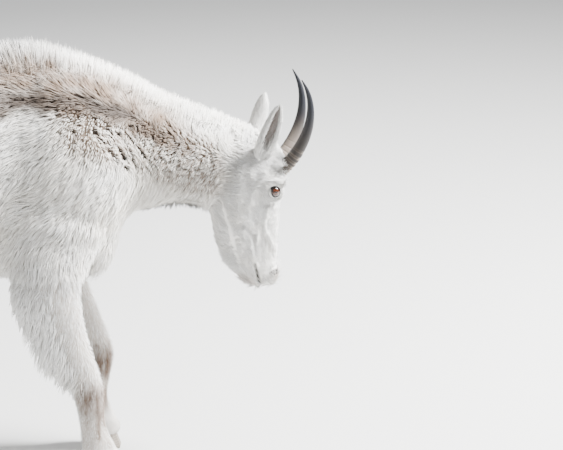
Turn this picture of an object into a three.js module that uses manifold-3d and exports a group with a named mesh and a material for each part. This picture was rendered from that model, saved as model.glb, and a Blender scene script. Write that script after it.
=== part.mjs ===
// A mountain goat in its summer coat, life size, standing with its head lowered and its muzzle pointing down.
// Millimetres. +X is the way it faces, +Y its left side, +Z up, and z = 0 is the ground under the hooves.
// The body is one rounded form, blended from chains of elliptical stations and parted into nodes by thin cuts.
import * as THREE from "three";
import { mergeVertices } from "three/addons/utils/BufferGeometryUtils.js";
import Module from "manifold-3d";

const wasm = await Module();
wasm.setup();

// Driving sizes
const GAP = 0.3; // kept between neighbouring nodes
const SEAT_GAP = 0.45; // kept between the body and what is cut to sit on its curved surface
const FORM_TOLERANCE = 3; // how far the large forms' facets may leave the true surface
const LEG_TOLERANCE = 2.4; // the same for the legs and the tail
const FINE_TOLERANCE = 1.7; // and for the head
const FACE_TOLERANCE = 0.35; // and for what is cut into the face
const CLEAN_TOLERANCE = 0.02; // edges shorter than this are closed up
const SIDES = { right: -1, left: 1 };

// Trunk stations: x, top, bottom, half-width
const TRUNK = [
  [-835, 800, 650, 82],
  [-790, 848, 600, 122],
  [-720, 872, 565, 150],
  [-600, 888, 548, 168],
  [-450, 902, 514, 184],
  [-300, 922, 492, 188],
  [-150, 945, 478, 178],
  [0, 958, 470, 158],
  [100, 936, 474, 138],
  [175, 870, 512, 108],
];
// Neck stations: x, z, above, below, half-width
const NECK = [
  [60, 790, 150, 200, 122],
  [160, 766, 142, 165, 102],
  [250, 748, 127, 128, 86],
  [305, 738, 110, 110, 79],
  [360, 730, 98, 98, 73],
  [420, 716, 92, 93, 69],
  [470, 708, 80, 80, 64],
];
// Head stations from crown to lips: x, z, ahead, behind, half-width
const HEAD = [
  [530, 748, 46, 60, 50],
  [535, 716, 53, 80, 60],
  [526, 676, 61, 98, 60],
  [511, 636, 69, 95, 55],
  [501, 591, 75, 83, 49],
  [501, 546, 73, 75, 43],
  [509, 501, 65, 63, 38],
  [521, 467, 54, 48, 35],
  [532, 442, 39, 31, 30],
];
// Tail stations under the hair, and how far the hair reaches past them
const TAIL = [
  [-820, 792, 42, 38, 38],
  [-866, 774, 26, 22, 26],
  [-908, 744, 18, 16, 20],
  [-936, 708, 10, 10, 12],
];
const TAIL_HAIR = 11;
// Crest: x and z of the line that its hair tips reach, and the hair's height there
const CREST = [
  [505, 806, 26],
  [462, 827, 36],
  [421, 848, 42],
  [358, 874, 48],
  [304, 897, 52],
  [249, 930, 56],
  [205, 955, 58],
  [141, 984, 58],
  [78, 1007, 58],
  [34, 1020, 58],
  [-12, 1025, 56],
  [-60, 1018, 52],
  [-150, 993, 42],
  [-300, 958, 32],
  [-450, 934, 26],
  [-600, 914, 22],
  [-740, 893, 18],
  [-800, 864, 14],
];
const CREST_HALF_WIDTH = 30;
const CREST_CORE = 0.4; // share of the hair's height that the ridge itself has

// Leg stations: x, distance out from the midline, z, ahead, behind, half-width
const LEGS = {
  foreleg_right: [
    [58, 100, 620, 92, 100, 58],
    [42, 112, 545, 90, 100, 64],
    [38, 122, 487, 76, 88, 58],
    [48, 126, 435, 63, 76, 51],
    [66, 127, 370, 54, 60, 44],
    [88, 127, 312, 47, 50, 39],
    [106, 126, 264, 43, 42, 37],
    [114, 125, 234, 42, 40, 37],
    [118, 125, 203, 37, 34, 33],
    [122, 125, 162, 33, 31, 29],
    [128, 125, 126, 35, 34, 30],
    [134, 125, 98, 40, 38, 35],
    [150, 125, 68, 38, 36, 34],
    [163, 125, 40, 41, 36, 34],
  ],
  foreleg_left: [
    [64, 100, 620, 92, 100, 58],
    [54, 112, 545, 90, 100, 64],
    [60, 120, 487, 76, 88, 58],
    [78, 123, 435, 63, 76, 51],
    [107, 124, 370, 54, 60, 44],
    [134, 124, 312, 47, 50, 39],
    [154, 123, 266, 43, 42, 37],
    [160, 122, 238, 43, 40, 37],
    [160, 122, 205, 37, 34, 33],
    [155, 122, 164, 33, 31, 29],
    [151, 122, 128, 35, 34, 30],
    [151, 122, 100, 40, 38, 35],
    [163, 122, 69, 38, 36, 34],
    [175, 122, 40, 41, 36, 34],
  ],
  hindleg_right: [
    [-695, 88, 720, 125, 118, 78],
    [-668, 104, 640, 118, 122, 76],
    [-655, 116, 565, 96, 104, 66],
    [-675, 120, 495, 74, 78, 54],
    [-714, 121, 428, 57, 58, 44],
    [-754, 121, 372, 47, 46, 38],
    [-782, 121, 326, 42, 42, 36],
    [-787, 121, 280, 37, 36, 32],
    [-781, 121, 215, 34, 33, 29],
    [-776, 121, 150, 34, 34, 30],
    [-771, 121, 105, 40, 38, 35],
    [-755, 121, 71, 38, 36, 34],
    [-742, 121, 40, 41, 36, 34],
  ],
  hindleg_left: [
    [-690, 88, 720, 125, 118, 78],
    [-652, 104, 640, 118, 122, 76],
    [-628, 116, 565, 96, 104, 66],
    [-634, 120, 495, 74, 78, 54],
    [-660, 121, 430, 57, 58, 44],
    [-688, 121, 376, 47, 46, 38],
    [-708, 121, 330, 42, 42, 36],
    [-706, 121, 284, 37, 36, 32],
    [-692, 121, 217, 34, 33, 29],
    [-680, 121, 150, 34, 34, 30],
    [-673, 121, 105, 40, 38, 35],
    [-657, 121, 71, 38, 36, 34],
    [-644, 121, 40, 41, 36, 34],
  ],
};
// Muscles and bony bumps, alike on both sides: x, distance out, z, and half-sizes along x, y and z
const BUMPS = {
  shoulder: [70, 92, 720, 118, 62, 150],
  brisket: [146, 26, 552, 52, 60, 66],
  haunch: [-690, 88, 735, 120, 62, 105],
  brow: [559, 50, 684, 25, 15, 15],
  orbit: [551, 45, 661, 27, 19, 27],
  horn_boss: [566, 33, 716, 24, 22, 22],
  cheek: [472, 30, 606, 46, 24, 62],
  cheek_ridge: [524, 38, 612, 20, 14, 34],
  nostril_wing: [560, 15, 455, 15, 14, 17],
  upper_lip: [551, 14, 438, 17, 15, 14],
};
const CHIN = [510, 0, 444, 24, 22, 18];

// Locks: how deep a root is sunk, how far a lock bows out, and the spacing, width and length of each kind
const LOCK = { sink: 8, bow: 5 };
const CREST_LOCKS = { from: 503, to: -680, pitch: 24.5, width: 46, thick: 16, lean: 0.5, rows: [-9, 9] };
const CHAPS_LOCKS = {
  levels: { fore: [450, 282], hind: [606, 388] },
  pitch: 25,
  width: 30,
  thick: 11,
  drop: 66,
  turns: [-58, 0, 58],
};
const FRINGE_LOCKS = {
  from: 128,
  to: -180,
  pitch: 45,
  width: 50,
  thick: 12,
  run: [-66, 0, -11],
  rows: [-36, 36],
};
const TAIL_LOCKS = { levels: [0.36, 0.7, 0.97], around: 4, width: 32, thick: 11, length: 46 };
const BEARD_LOCKS = {
  from: [452, 0, 534],
  to: [492, 0, 466],
  inward: [0.75, 0, 0.66],
  count: 4,
  width: 20,
  thick: 8,
  run: [5, 0, -36],
  rows: [-9, 9],
};

// Where the nodes part: a point of each plane, and the way it faces
const CUTS = {
  head_neck: { at: [450, 0, 710], facing: [0.925, 0, -0.379] },
  neck_chest: { at: [190, 0, 780], facing: [0.94, 0, 0.34] },
  chest_barrel: { at: [-200, 0, 700], facing: [1, 0, 0] },
  barrel_rump: { at: [-530, 0, 700], facing: [1, 0, 0] },
  rump_tail: { at: [-866, 0, 770], facing: [1, 0, 0.3] },
  elbow: { at: [0, 0, 458], facing: [0, 0, 1] },
  below_knee: { at: [0, 0, 205], facing: [0, 0, 1] },
  stifle: { at: [0, 0, 515], facing: [0, 0, 1] },
  below_hock: { at: [0, 0, 286], facing: [0, 0, 1] },
  coronet: { at: [0, 0, 46], facing: [0, 0, 1] },
};

const EYE = { at: [553, 52, 662], radius: 15.5 };
// Lids: thickness over the eyeball, and the opening's long axis and half-sizes along it, outward and across
const LIDS = { thick: 2.4, axis: [0.5, 0, -0.87], opening: [13.5, 13, 10.5] };
// Nostril slit: its middle, the way it runs, and its half-sizes along it, into the head and across
const NOSTRIL = { x: 562, z: 458, axis: [0.86, -0.3, 0.42], halves: [11.5, 6.5, 4] };
// Mouth line: the point its plane turns about, the way down towards the lips, its half-width and depth
const MOUTH = { centre: [512, 0, 482], down: [0.26, 0, -0.966], half: 1.5, depth: 4.5 };
// Horn centreline, near one side: x, distance out, z, and radius
const HORN = [
  [560, 30, 694, 17],
  [577, 33, 709, 16.5],
  [596, 38, 730, 15.2],
  [613, 42, 756, 13.8],
  [626, 46, 784, 12.2],
  [634, 49, 812, 10.4],
  [637, 52, 841, 8.5],
  [635, 54, 868, 6.5],
  [628, 56, 893, 4.3],
  [616, 58, 917, 1.2],
];
// Ear from its root to its tip: x, distance out, z, half-width, half-thickness
const EAR = [
  [526, 46, 738, 15, 14],
  [526, 58, 757, 18, 15],
  [532, 70, 782, 20, 14],
  [540, 80, 807, 21, 11.5],
  [547, 88, 831, 19, 9],
  [552, 94, 850, 14, 6],
  [556, 98, 864, 7, 3.5],
  [558, 100, 870, 1.5, 1.5],
];
// The way each ear's cup faces, before it is squared to the ear, and how upright the ear is held
const EAR_POSES = {
  right: { facing: [0.3, -0.9, 0.12], rise: 1 },
  left: { facing: [0.72, 0.66, 0.12], rise: 0.86 },
};

const CLAW = { length: 84, width: 33, height: 45.7, toe_slope: 16, heel_slope: 5, gap: 3 };
const DEWCLAW = { out: 15, z: 84, slope: [-0.5, 0, -0.87], length: 30, radius: 9.5 };
// Long hair behind the forearm and the thigh: height, how far its tips reach behind the leg, half-width
const CHAPS = {
  fore: [
    [500, 8, 40],
    [470, 16, 42],
    [435, 19, 40],
    [395, 20, 36],
    [356, 28, 33],
    [325, 42, 31],
    [300, 46, 29],
    [278, 32, 27],
    [256, 12, 25],
  ],
  hind: [
    [640, 6, 56],
    [590, 16, 56],
    [530, 24, 48],
    [480, 30, 42],
    [435, 30, 36],
    [400, 22, 32],
    [365, 6, 29],
  ],
};
const CHAPS_CORE = 0.4; // share of the long hair's reach that the leg's own form has

const CLAW_SIDES = { inner: -1, outer: 1 };

const vec = (a) => new THREE.Vector3(...a);
const mix = (a, b, t) => a + (b - a) * t;

// Rows of numbers, made `steps` times denser on a smooth curve through them
function smoothRows(rows, steps) {
  const out = [];
  for (let i = 0; i < rows.length - 1; i++) {
    const [a, b] = [rows[i], rows[i + 1]];
    const [p, q] = [rows[Math.max(i - 1, 0)], rows[Math.min(i + 2, rows.length - 1)]];
    for (let s = 0; s < steps; s++) {
      const t = s / steps;
      out.push(
        a.map((_, k) => {
          const [m0, m1] = [(b[k] - p[k]) / 2, (q[k] - a[k]) / 2];
          const d = b[k] - a[k];
          return a[k] + m0 * t + (3 * d - 2 * m0 - m1) * t * t + (m0 + m1 - 2 * d) * t * t * t;
        }),
      );
    }
  }
  out.push(rows[rows.length - 1]);
  return out;
}

// A chain as segments between stations of x, y, z, ahead, behind, half-width, ready for measuring
function chain(rows, steps = 3, capShare = 0.6) {
  const dense = smoothRows(rows, steps);
  return dense.slice(1).map((end, i) => {
    const start = dense[i];
    const a = vec(start.slice(0, 3));
    const along = vec(end.slice(0, 3)).sub(a);
    const length = along.length();
    const t = along.clone().divideScalar(length);
    const side = new THREE.Vector3(0, 1, 0).addScaledVector(t, -t.y).normalize();
    const up = new THREE.Vector3().crossVectors(t, side);
    return { a, t, side, up, length, from: start.slice(3), to: end.slice(3), capShare };
  });
}

// Distance from a point to a chain's surface, negative inside
function chainDistance(segments, x, y, z) {
  let best = Infinity;
  for (const s of segments) {
    const [dx, dy, dz] = [x - s.a.x, y - s.a.y, z - s.a.z];
    const along = dx * s.t.x + dy * s.t.y + dz * s.t.z;
    const h = Math.min(Math.max(along, 0), s.length);
    const over = along - h;
    const share = h / s.length;
    const lateral = dx * s.side.x + dy * s.side.y + dz * s.side.z;
    const rise = dx * s.up.x + dy * s.up.y + dz * s.up.z;
    const ahead = mix(s.from[0], s.to[0], share);
    const behind = mix(s.from[1], s.to[1], share);
    const half = mix(s.from[2], s.to[2], share);
    const cap = Math.min(half, (ahead + behind) / 2) * s.capShare;
    const k = Math.hypot(lateral / half, rise / (rise > 0 ? ahead : behind), over / cap);
    const r = Math.hypot(lateral, rise, over);
    best = Math.min(best, k < 1e-6 ? -Math.min(half, ahead, behind) : r * (1 - 1 / k));
  }
  return best;
}

function bumpDistance([cx, cy, cz, rx, ry, rz], x, y, z) {
  const k = Math.hypot((x - cx) / rx, (y - cy) / ry, (z - cz) / rz);
  const r = Math.hypot(x - cx, y - cy, z - cz);
  return k < 1e-6 ? -Math.min(rx, ry, rz) : r * (1 - 1 / k);
}

// The smaller of two distances, rounded where they meet
function blend(a, b, radius) {
  const h = Math.max(radius - Math.abs(a - b), 0) / radius;
  return Math.min(a, b) - (h * h * radius) / 4;
}

const midline = (rows) => rows.map(([x, z, ...sizes]) => [x, 0, z, ...sizes]);
const TRUNK_CHAIN = chain(
  TRUNK.map(([x, top, bottom, half]) => {
    const tall = (top - bottom) / 2;
    return [x, 0, (top + bottom) / 2, tall, tall, half];
  }),
);
const NECK_CHAIN = chain(midline(NECK));
const HEAD_CHAIN = chain(midline(HEAD));
const TAIL_CHAIN = chain(midline(TAIL));
const CREST_ROOT_DEPTH = 70;
const CREST_CHAIN = chain(
  CREST.map(([x, z, tall]) => {
    const up = CREST_ROOT_DEPTH + tall * CREST_CORE;
    return [x, 0, z - tall - CREST_ROOT_DEPTH, up, CREST_ROOT_DEPTH, CREST_HALF_WIDTH];
  }).reverse(),
  2,
  0.4,
);
const LEG_CHAINS = Object.entries(LEGS).map(([name, rows]) => {
  const side = name.endsWith("left") ? 1 : -1;
  return chain(rows.map(([x, out, ...rest]) => [x, side * out, ...rest]));
});

// A leg's station at a height, between the two nearest of its rows
function legAt(rows, z) {
  const i = Math.max(rows.findIndex((row) => row[2] <= z), 1);
  const [a, b] = [rows[i - 1], rows[i]];
  return a.map((value, k) => mix(value, b[k], (a[2] - z) / (a[2] - b[2])));
}
const CHAPS_CHAINS = Object.entries(LEGS).map(([name, rows]) => {
  const side = name.endsWith("left") ? 1 : -1;
  const hair = CHAPS[name.startsWith("fore") ? "fore" : "hind"];
  return chain(
    hair.map(([z, reach, half]) => {
      const [x, out, , , behind] = legAt(rows, z);
      return [x - behind * 0.4, side * out, z, behind * 0.3, behind * 0.6 + reach * CHAPS_CORE, half];
    }),
    2,
    0.5,
  );
});

// Distance from a point to the body's outer form, negative inside
function bodyDistance(x, y, z) {
  const out = Math.abs(y);
  let d = blend(chainDistance(TRUNK_CHAIN, x, y, z), chainDistance(NECK_CHAIN, x, y, z), 70);
  d = blend(d, bumpDistance(BUMPS.shoulder, x, out, z), 60);
  d = blend(d, bumpDistance(BUMPS.haunch, x, out, z), 60);
  d = blend(d, bumpDistance(BUMPS.brisket, x, out, z), 40);
  for (const leg of LEG_CHAINS) d = blend(d, chainDistance(leg, x, y, z), 46);
  for (const hair of CHAPS_CHAINS) d = blend(d, chainDistance(hair, x, y, z), 14);
  d = blend(d, chainDistance(CREST_CHAIN, x, y, z), 30);
  d = blend(d, chainDistance(TAIL_CHAIN, x, y, z), 24);
  let head = chainDistance(HEAD_CHAIN, x, y, z);
  for (const name of ["brow", "orbit", "horn_boss", "cheek", "cheek_ridge", "nostril_wing", "upper_lip"])
    head = blend(head, bumpDistance(BUMPS[name], x, out, z), name === "cheek" ? 30 : 12);
  head = blend(head, bumpDistance(CHIN, x, y, z), 12);
  return blend(d, head, 34);
}

const asArray = (v) => [v.x, v.y, v.z];

// A three.js geometry of one closed surface as a solid that can be cut and joined
function solidOf(geometry) {
  const bare = new THREE.BufferGeometry();
  bare.setAttribute("position", geometry.getAttribute("position"));
  if (geometry.index) bare.setIndex(geometry.index);
  const merged = mergeVertices(bare, 1e-3);
  const keep = [];
  const index = merged.index.array;
  for (let i = 0; i < index.length; i += 3) {
    const [a, b, c] = [index[i], index[i + 1], index[i + 2]];
    if (a !== b && b !== c && a !== c) keep.push(a, b, c);
  }
  return new wasm.Manifold(
    new wasm.Mesh({
      numProp: 3,
      vertProperties: new Float32Array(merged.attributes.position.array),
      triVerts: new Uint32Array(keep),
    }),
  );
}

// Only the largest closed surface of a solid
function largest(solid) {
  return solid.decompose().sort((a, b) => b.volume() - a.volume())[0];
}

// The surface of a field inside a box, as a closed solid: one point a cell, one quad a crossed grid edge
function surfaceIn(field, low, high, cell, level = 0) {
  const count = low.map((v, k) => Math.ceil((high[k] - v) / cell[k]) + 3);
  const at = (i, j, k) => (i * count[1] + j) * count[2] + k;
  const place = (i, k) => low[k] + (i - 1) * cell[k];
  const values = new Float64Array(count[0] * count[1] * count[2]);
  for (let i = 0; i < count[0]; i++)
    for (let j = 0; j < count[1]; j++)
      for (let k = 0; k < count[2]; k++) {
        const edge = [i, j, k].some((n, axis) => n === 0 || n === count[axis] - 1);
        values[at(i, j, k)] = edge ? cell[0] * 0.2 : field(place(i, 0), place(j, 1), place(k, 2)) - level;
      }
  const points = [];
  const pointOf = new Int32Array(values.length).fill(-1);
  const corners = [0, 1, 2, 3, 4, 5, 6, 7].map((n) => [n & 1, (n >> 1) & 1, (n >> 2) & 1]);
  const edges = [];
  corners.forEach((a, m) =>
    corners.forEach((b, n) => {
      const apart = a.reduce((sum, v, k) => sum + Math.abs(v - b[k]), 0);
      if (m < n && apart === 1) edges.push([a, b]);
    }),
  );
  for (let i = 0; i < count[0] - 1; i++)
    for (let j = 0; j < count[1] - 1; j++)
      for (let k = 0; k < count[2] - 1; k++) {
        const sum = [0, 0, 0];
        let crossings = 0;
        for (const [a, b] of edges) {
          const [va, vb] = [a, b].map((c) => values[at(i + c[0], j + c[1], k + c[2])]);
          if (va < 0 === vb < 0) continue;
          const t = va / (va - vb);
          for (let n = 0; n < 3; n++) sum[n] += mix(a[n], b[n], t);
          crossings++;
        }
        if (!crossings) continue;
        pointOf[at(i, j, k)] = points.length / 3;
        [i, j, k].forEach((n, axis) => points.push(place(n + sum[axis] / crossings, axis)));
      }
  const faces = [];
  const quad = (a, b, c, d, flip) => {
    const [p, q, r, s] = (flip ? [a, d, c, b] : [a, b, c, d]).map((n) => pointOf[n]);
    const gap = (m, n) => Math.hypot(...[0, 1, 2].map((k) => points[3 * m + k] - points[3 * n + k]));
    if (gap(p, r) < gap(q, s)) faces.push(p, q, r, p, r, s);
    else faces.push(p, q, s, q, r, s);
  };
  for (let i = 0; i < count[0] - 1; i++)
    for (let j = 0; j < count[1] - 1; j++)
      for (let k = 0; k < count[2] - 1; k++) {
        const inside = values[at(i, j, k)] < 0;
        if (j && k && inside !== values[at(i + 1, j, k)] < 0)
          quad(at(i, j - 1, k - 1), at(i, j, k - 1), at(i, j, k), at(i, j - 1, k), !inside);
        if (i && k && inside !== values[at(i, j + 1, k)] < 0)
          quad(at(i - 1, j, k - 1), at(i - 1, j, k), at(i, j, k), at(i, j, k - 1), !inside);
        if (i && j && inside !== values[at(i, j, k + 1)] < 0)
          quad(at(i - 1, j - 1, k), at(i, j - 1, k), at(i, j, k), at(i - 1, j, k), !inside);
      }
  // Each point is moved onto the field's own surface, unless it closes the box
  const step = 1;
  for (let n = 0; n < points.length; n += 3) {
    const p = points.slice(n, n + 3);
    if (p.some((v, axis) => v < low[axis] || v > high[axis])) continue;
    const d = field(...p) - level;
    const slope = [0, 1, 2].map((axis) => {
      const q = [...p];
      q[axis] += step;
      return (field(...q) - level - d) / step;
    });
    const steep = slope[0] ** 2 + slope[1] ** 2 + slope[2] ** 2;
    const most = Math.min(...cell) * 0.4;
    const move = Math.max(Math.min(d / Math.max(steep, 0.2), most), -most);
    for (let axis = 0; axis < 3; axis++) points[n + axis] -= move * slope[axis];
  }
  const geometry = new THREE.BufferGeometry();
  geometry.setAttribute("position", new THREE.BufferAttribute(new Float32Array(points), 3));
  geometry.setIndex(faces);
  return solidOf(geometry);
}

// A closed surface through rings of equal length, with a flat cap at each end or a point at its last
function loft(rings, apex) {
  const n = rings[0].length;
  const points = [...rings.flat(), ...(apex ? [apex] : [])].flatMap(asArray);
  const faces = [];
  for (let r = 0; r < rings.length - 1; r++)
    for (let i = 0; i < n; i++) {
      const [a, b] = [r * n + i, r * n + ((i + 1) % n)];
      faces.push(a, b, b + n, a, b + n, a + n);
    }
  const last = (rings.length - 1) * n;
  for (let i = 1; i < n - 1; i++) faces.push(0, i + 1, i);
  if (apex) for (let i = 0; i < n; i++) faces.push(last + i, last + ((i + 1) % n), last + n);
  else for (let i = 1; i < n - 1; i++) faces.push(last, last + i, last + i + 1);
  const geometry = new THREE.BufferGeometry();
  geometry.setAttribute("position", new THREE.BufferAttribute(new Float32Array(points), 3));
  geometry.setIndex(faces);
  const solid = solidOf(geometry);
  if (solid.volume() > 0) return solid;
  for (let i = 0; i < faces.length; i += 3) [faces[i + 1], faces[i + 2]] = [faces[i + 2], faces[i + 1]];
  geometry.setIndex(faces);
  return solidOf(geometry);
}

// An ellipse of points about a centre, across two directions
function ring(centre, across, upward, half, tall, sides) {
  return Array.from({ length: sides }, (_, i) => {
    const turn = (2 * Math.PI * (i + 0.5)) / sides;
    return centre
      .clone()
      .addScaledVector(across, half * Math.cos(turn))
      .addScaledVector(upward, tall * Math.sin(turn));
  });
}

// A seeded draw around a value, so that the locks vary alike on every build
let drawState = 20;
function vary(value, share) {
  drawState = (drawState * 1664525 + 1013904223) >>> 0;
  return value * (1 + share * (drawState / 2147483648 - 1));
}

const LOCKS = [];

// One flat, tapered lock on a bent line from a sunk root to its tip, and its flat side's own direction
function addLock({ root, out, tip, flat, width, thick }) {
  const start = root.clone().addScaledVector(out, -LOCK.sink);
  const bow = root.clone().lerp(tip, 0.42).addScaledVector(out, vary(LOCK.bow, 0.6));
  const curve = new THREE.QuadraticBezierCurve3(start, bow, tip);
  const rings = [0, 0.36, 0.7].map((share) => {
    const t = curve.getTangent(share);
    const across = new THREE.Vector3().crossVectors(t, flat).normalize();
    const upward = new THREE.Vector3().crossVectors(across, t);
    const size = 1 - share ** 1.7;
    const tall = (thick / 2) * (0.3 + 0.7 * size);
    return ring(curve.getPoint(share), across, upward, (width / 2) * size, tall, 3);
  });
  const solid = loft(rings, tip);
  LOCKS.push({ solid, box: solid.boundingBox() });
}

// The locks whose boxes meet a region
function locksIn(low, high) {
  const meets = ({ box }) => low.every((v, k) => box.max[k] > v && box.min[k] < high[k]);
  return LOCKS.filter(meets).map((lock) => lock.solid);
}

// A very large block on the side that a plane faces, moved on by an offset
function beyond(cut, offset = 0) {
  const size = 4000;
  const facing = vec(cut.facing).normalize();
  const block = new THREE.BoxGeometry(size, size, size);
  block.applyQuaternion(new THREE.Quaternion().setFromUnitVectors(new THREE.Vector3(1, 0, 0), facing));
  const centre = vec(cut.at).addScaledVector(facing, size / 2 + offset);
  block.translate(centre.x, centre.y, centre.z);
  return solidOf(block);
}
const behindCut = (cut) => ({ at: cut.at, facing: cut.facing.map((v) => -v) });

// The part of a solid ahead of one plane and behind another, with half a gap left at each
function between(solid, ahead, behind) {
  let out = solid;
  if (ahead) out = out.subtract(beyond(behindCut(ahead), -GAP / 2));
  if (behind) out = out.subtract(beyond(behind, -GAP / 2));
  return largest(out);
}

// The body in a region, with its locks joined on
function body(low, high, cell, tolerance) {
  const form = surfaceIn(bodyDistance, low, high, cell).simplify(tolerance);
  return wasm.Manifold.union([form, ...locksIn(low, high)]);
}

// The way out of the body at a point
function outward(x, y, z) {
  const d = bodyDistance(x, y, z);
  const [dx, dy] = [bodyDistance(x + 1, y, z) - d, bodyDistance(x, y + 1, z) - d];
  return vec([dx, dy, bodyDistance(x, y, z + 1) - d]).normalize();
}

// A solid of the body moved out along its surface, to cut what sits on it
function swollen(solid, by) {
  return solid.warp((p) => {
    const out = outward(...p);
    p[0] += out.x * by;
    p[1] += out.y * by;
    p[2] += out.z * by;
  });
}

// How far it is from a point inside the body to its surface along a direction
function reachOf(origin, direction, most) {
  let [near, far] = [0, most];
  for (let i = 0; i < 24; i++) {
    const middle = (near + far) / 2;
    if (bodyDistance(...asArray(origin.clone().addScaledVector(direction, middle))) < 0) near = middle;
    else far = middle;
  }
  return near;
}

// Materials by the part's look
const looks = {
  coat: new THREE.MeshStandardMaterial({ color: 0xe9e4da, roughness: 0.9, metalness: 0 }),
  horn: new THREE.MeshStandardMaterial({ color: 0x2b2724, roughness: 0.5, metalness: 0 }),
  hoof: new THREE.MeshStandardMaterial({ color: 0x6b6157, roughness: 0.6, metalness: 0 }),
  eye: new THREE.MeshStandardMaterial({ color: 0x3b1d10, roughness: 0.1, metalness: 0 }),
};

const goat = new THREE.Group();

function addNode(name, solid, look) {
  const made = largest(solid.asOriginal().simplify(CLEAN_TOLERANCE)).getMesh();
  const geometry = new THREE.BufferGeometry();
  geometry.setAttribute("position", new THREE.BufferAttribute(made.vertProperties, 3));
  geometry.setIndex(new THREE.BufferAttribute(made.triVerts, 1));
  geometry.computeVertexNormals();
  const mesh = new THREE.Mesh(geometry, looks[look]);
  mesh.name = name;
  goat.add(mesh);
}

// The crest line at a place along x: its height, the hair's height there, and the way it runs to the rear
function crestAt(x) {
  const i = Math.max(CREST.findIndex((row) => row[0] <= x), 1);
  const [a, b] = [CREST[i - 1], CREST[i]];
  const share = (a[0] - x) / (a[0] - b[0]);
  const run = vec([b[0] - a[0], 0, b[1] - a[1]]).normalize();
  return { z: mix(a[1], b[1], share), tall: mix(a[2], b[2], share), run };
}

// Upright hair along the crest, in staggered rows that lean back
function addCrestLocks() {
  const { from, to, pitch, width, thick, lean, rows } = CREST_LOCKS;
  rows.forEach((y, r) => {
    for (let x = from - (r * pitch) / 2; x > to; x -= pitch * (x < -160 ? 1.9 : 1)) {
      const { z, tall, run } = crestAt(x);
      const out = new THREE.Vector3(-run.z, 0, run.x).multiplyScalar(-1);
      const line = new THREE.Vector3(x, y, z);
      const root = line.clone().addScaledVector(out, -tall * (1 - CREST_CORE) - 4);
      const tip = line.clone().addScaledVector(run, tall * vary(lean, 0.5));
      tip.addScaledVector(out, vary(5, 0.8));
      tip.y += vary(Math.sign(y) * 3, 1);
      const flat = new THREE.Vector3(0, Math.sign(y), 0);
      addLock({ root, out, tip, flat, width: vary(width, 0.15), thick: vary(thick, 0.15) });
    }
  });
}

// Long hair behind a leg, hanging down and back in overlapping levels
function addChapsLocks() {
  const { levels, pitch, width, thick, drop, turns } = CHAPS_LOCKS;
  for (const [name, rows] of Object.entries(LEGS)) {
    const side = name.endsWith("left") ? 1 : -1;
    const kind = name.startsWith("fore") ? "fore" : "hind";
    const hair = CHAPS[kind].map(([z, ...rest]) => [0, 0, z, ...rest]);
    const surface = (z, turn, core) => {
      const [x, out, , , behind] = legAt(rows, z);
      const [, , , reach, half] = legAt(hair, Math.max(z, hair[hair.length - 1][2] + 1));
      const back = behind + reach * core - behind * 0.4 * (1 - Math.cos(turn));
      return new THREE.Vector3(x - back * Math.cos(turn), side * out + half * Math.sin(turn), z);
    };
    const [top, bottom] = levels[kind];
    let level = 0;
    for (let z = top; z > bottom; z -= pitch) {
      level++;
      turns.forEach((degrees, i) => {
        if ((i + level) % 2 && i !== 1) return;
        const turn = THREE.MathUtils.degToRad(vary(degrees + 8 * (level % 2 ? 1 : -1), 0.15));
        const out = new THREE.Vector3(-Math.cos(turn), Math.sin(turn), 0);
        const root = surface(z, turn, CHAPS_CORE);
        const tip = surface(z - vary(drop, 0.2), turn * 0.9, vary(1, 0.1));
        addLock({ root, out, tip, flat: out, width: vary(width, 0.15), thick: vary(thick, 0.15) });
      });
    }
  }
}

// Short fringe under the chest and the belly, lying back
function addFringeLocks() {
  const { from, to, pitch, width, thick, run, rows } = FRINGE_LOCKS;
  rows.forEach((y, r) => {
    for (let x = from - (r * pitch) / 2; x > to; x -= pitch) {
      const inside = new THREE.Vector3(x, vary(y, 0.3), 640);
      const out = new THREE.Vector3(0, 0, -1);
      const root = inside.clone().addScaledVector(out, reachOf(inside, out, 300));
      const tip = root.clone().add(vec(run).multiplyScalar(vary(1, 0.2)));
      addLock({ root, out, tip, flat: out, width: vary(width, 0.15), thick: vary(thick, 0.15) });
    }
  });
}

// Hair round the tail, lying along it to its tip
function addTailLocks() {
  const { levels, around, width, thick, length } = TAIL_LOCKS;
  const dense = smoothRows(midline(TAIL), 4);
  levels.forEach((level, n) => {
    const i = Math.round(level * (dense.length - 1));
    const [at, before] = [dense[i], dense[i - 1]].map((row) => vec(row.slice(0, 3)));
    const run = at.clone().sub(before).normalize();
    const up = new THREE.Vector3().crossVectors(run, new THREE.Vector3(0, 1, 0));
    for (let k = 0; k < around; k++) {
      const turn = (2 * Math.PI * (k + (n % 2) / 2)) / around;
      const out = new THREE.Vector3(0, Math.sin(turn), 0).addScaledVector(up, Math.cos(turn));
      const root = at.clone().addScaledVector(out, reachOf(at, out, 60));
      const tip = root.clone().addScaledVector(run, vary(length, 0.2));
      tip.addScaledVector(out, vary(TAIL_HAIR - 4, 0.4));
      addLock({ root, out, tip, flat: out, width: vary(width, 0.1), thick });
    }
  });
}

// A short beard under the jaw
function addBeardLocks() {
  const { from, to, inward, count, width, thick, run, rows } = BEARD_LOCKS;
  const out = vec(inward).negate();
  rows.forEach((y, r) => {
    for (let i = 0; i < count; i++) {
      const near = vec(from).lerp(vec(to), (i + r / 2) / (count - 0.5));
      const inside = near.addScaledVector(out, -30).setY(vary(y, 0.3));
      const root = inside.clone().addScaledVector(out, reachOf(inside, out, 90));
      const tip = root.clone().add(vec(run).multiplyScalar(vary(1, 0.25)));
      addLock({ root, out, tip, flat: out, width: vary(width, 0.1), thick });
    }
  });
}

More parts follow.
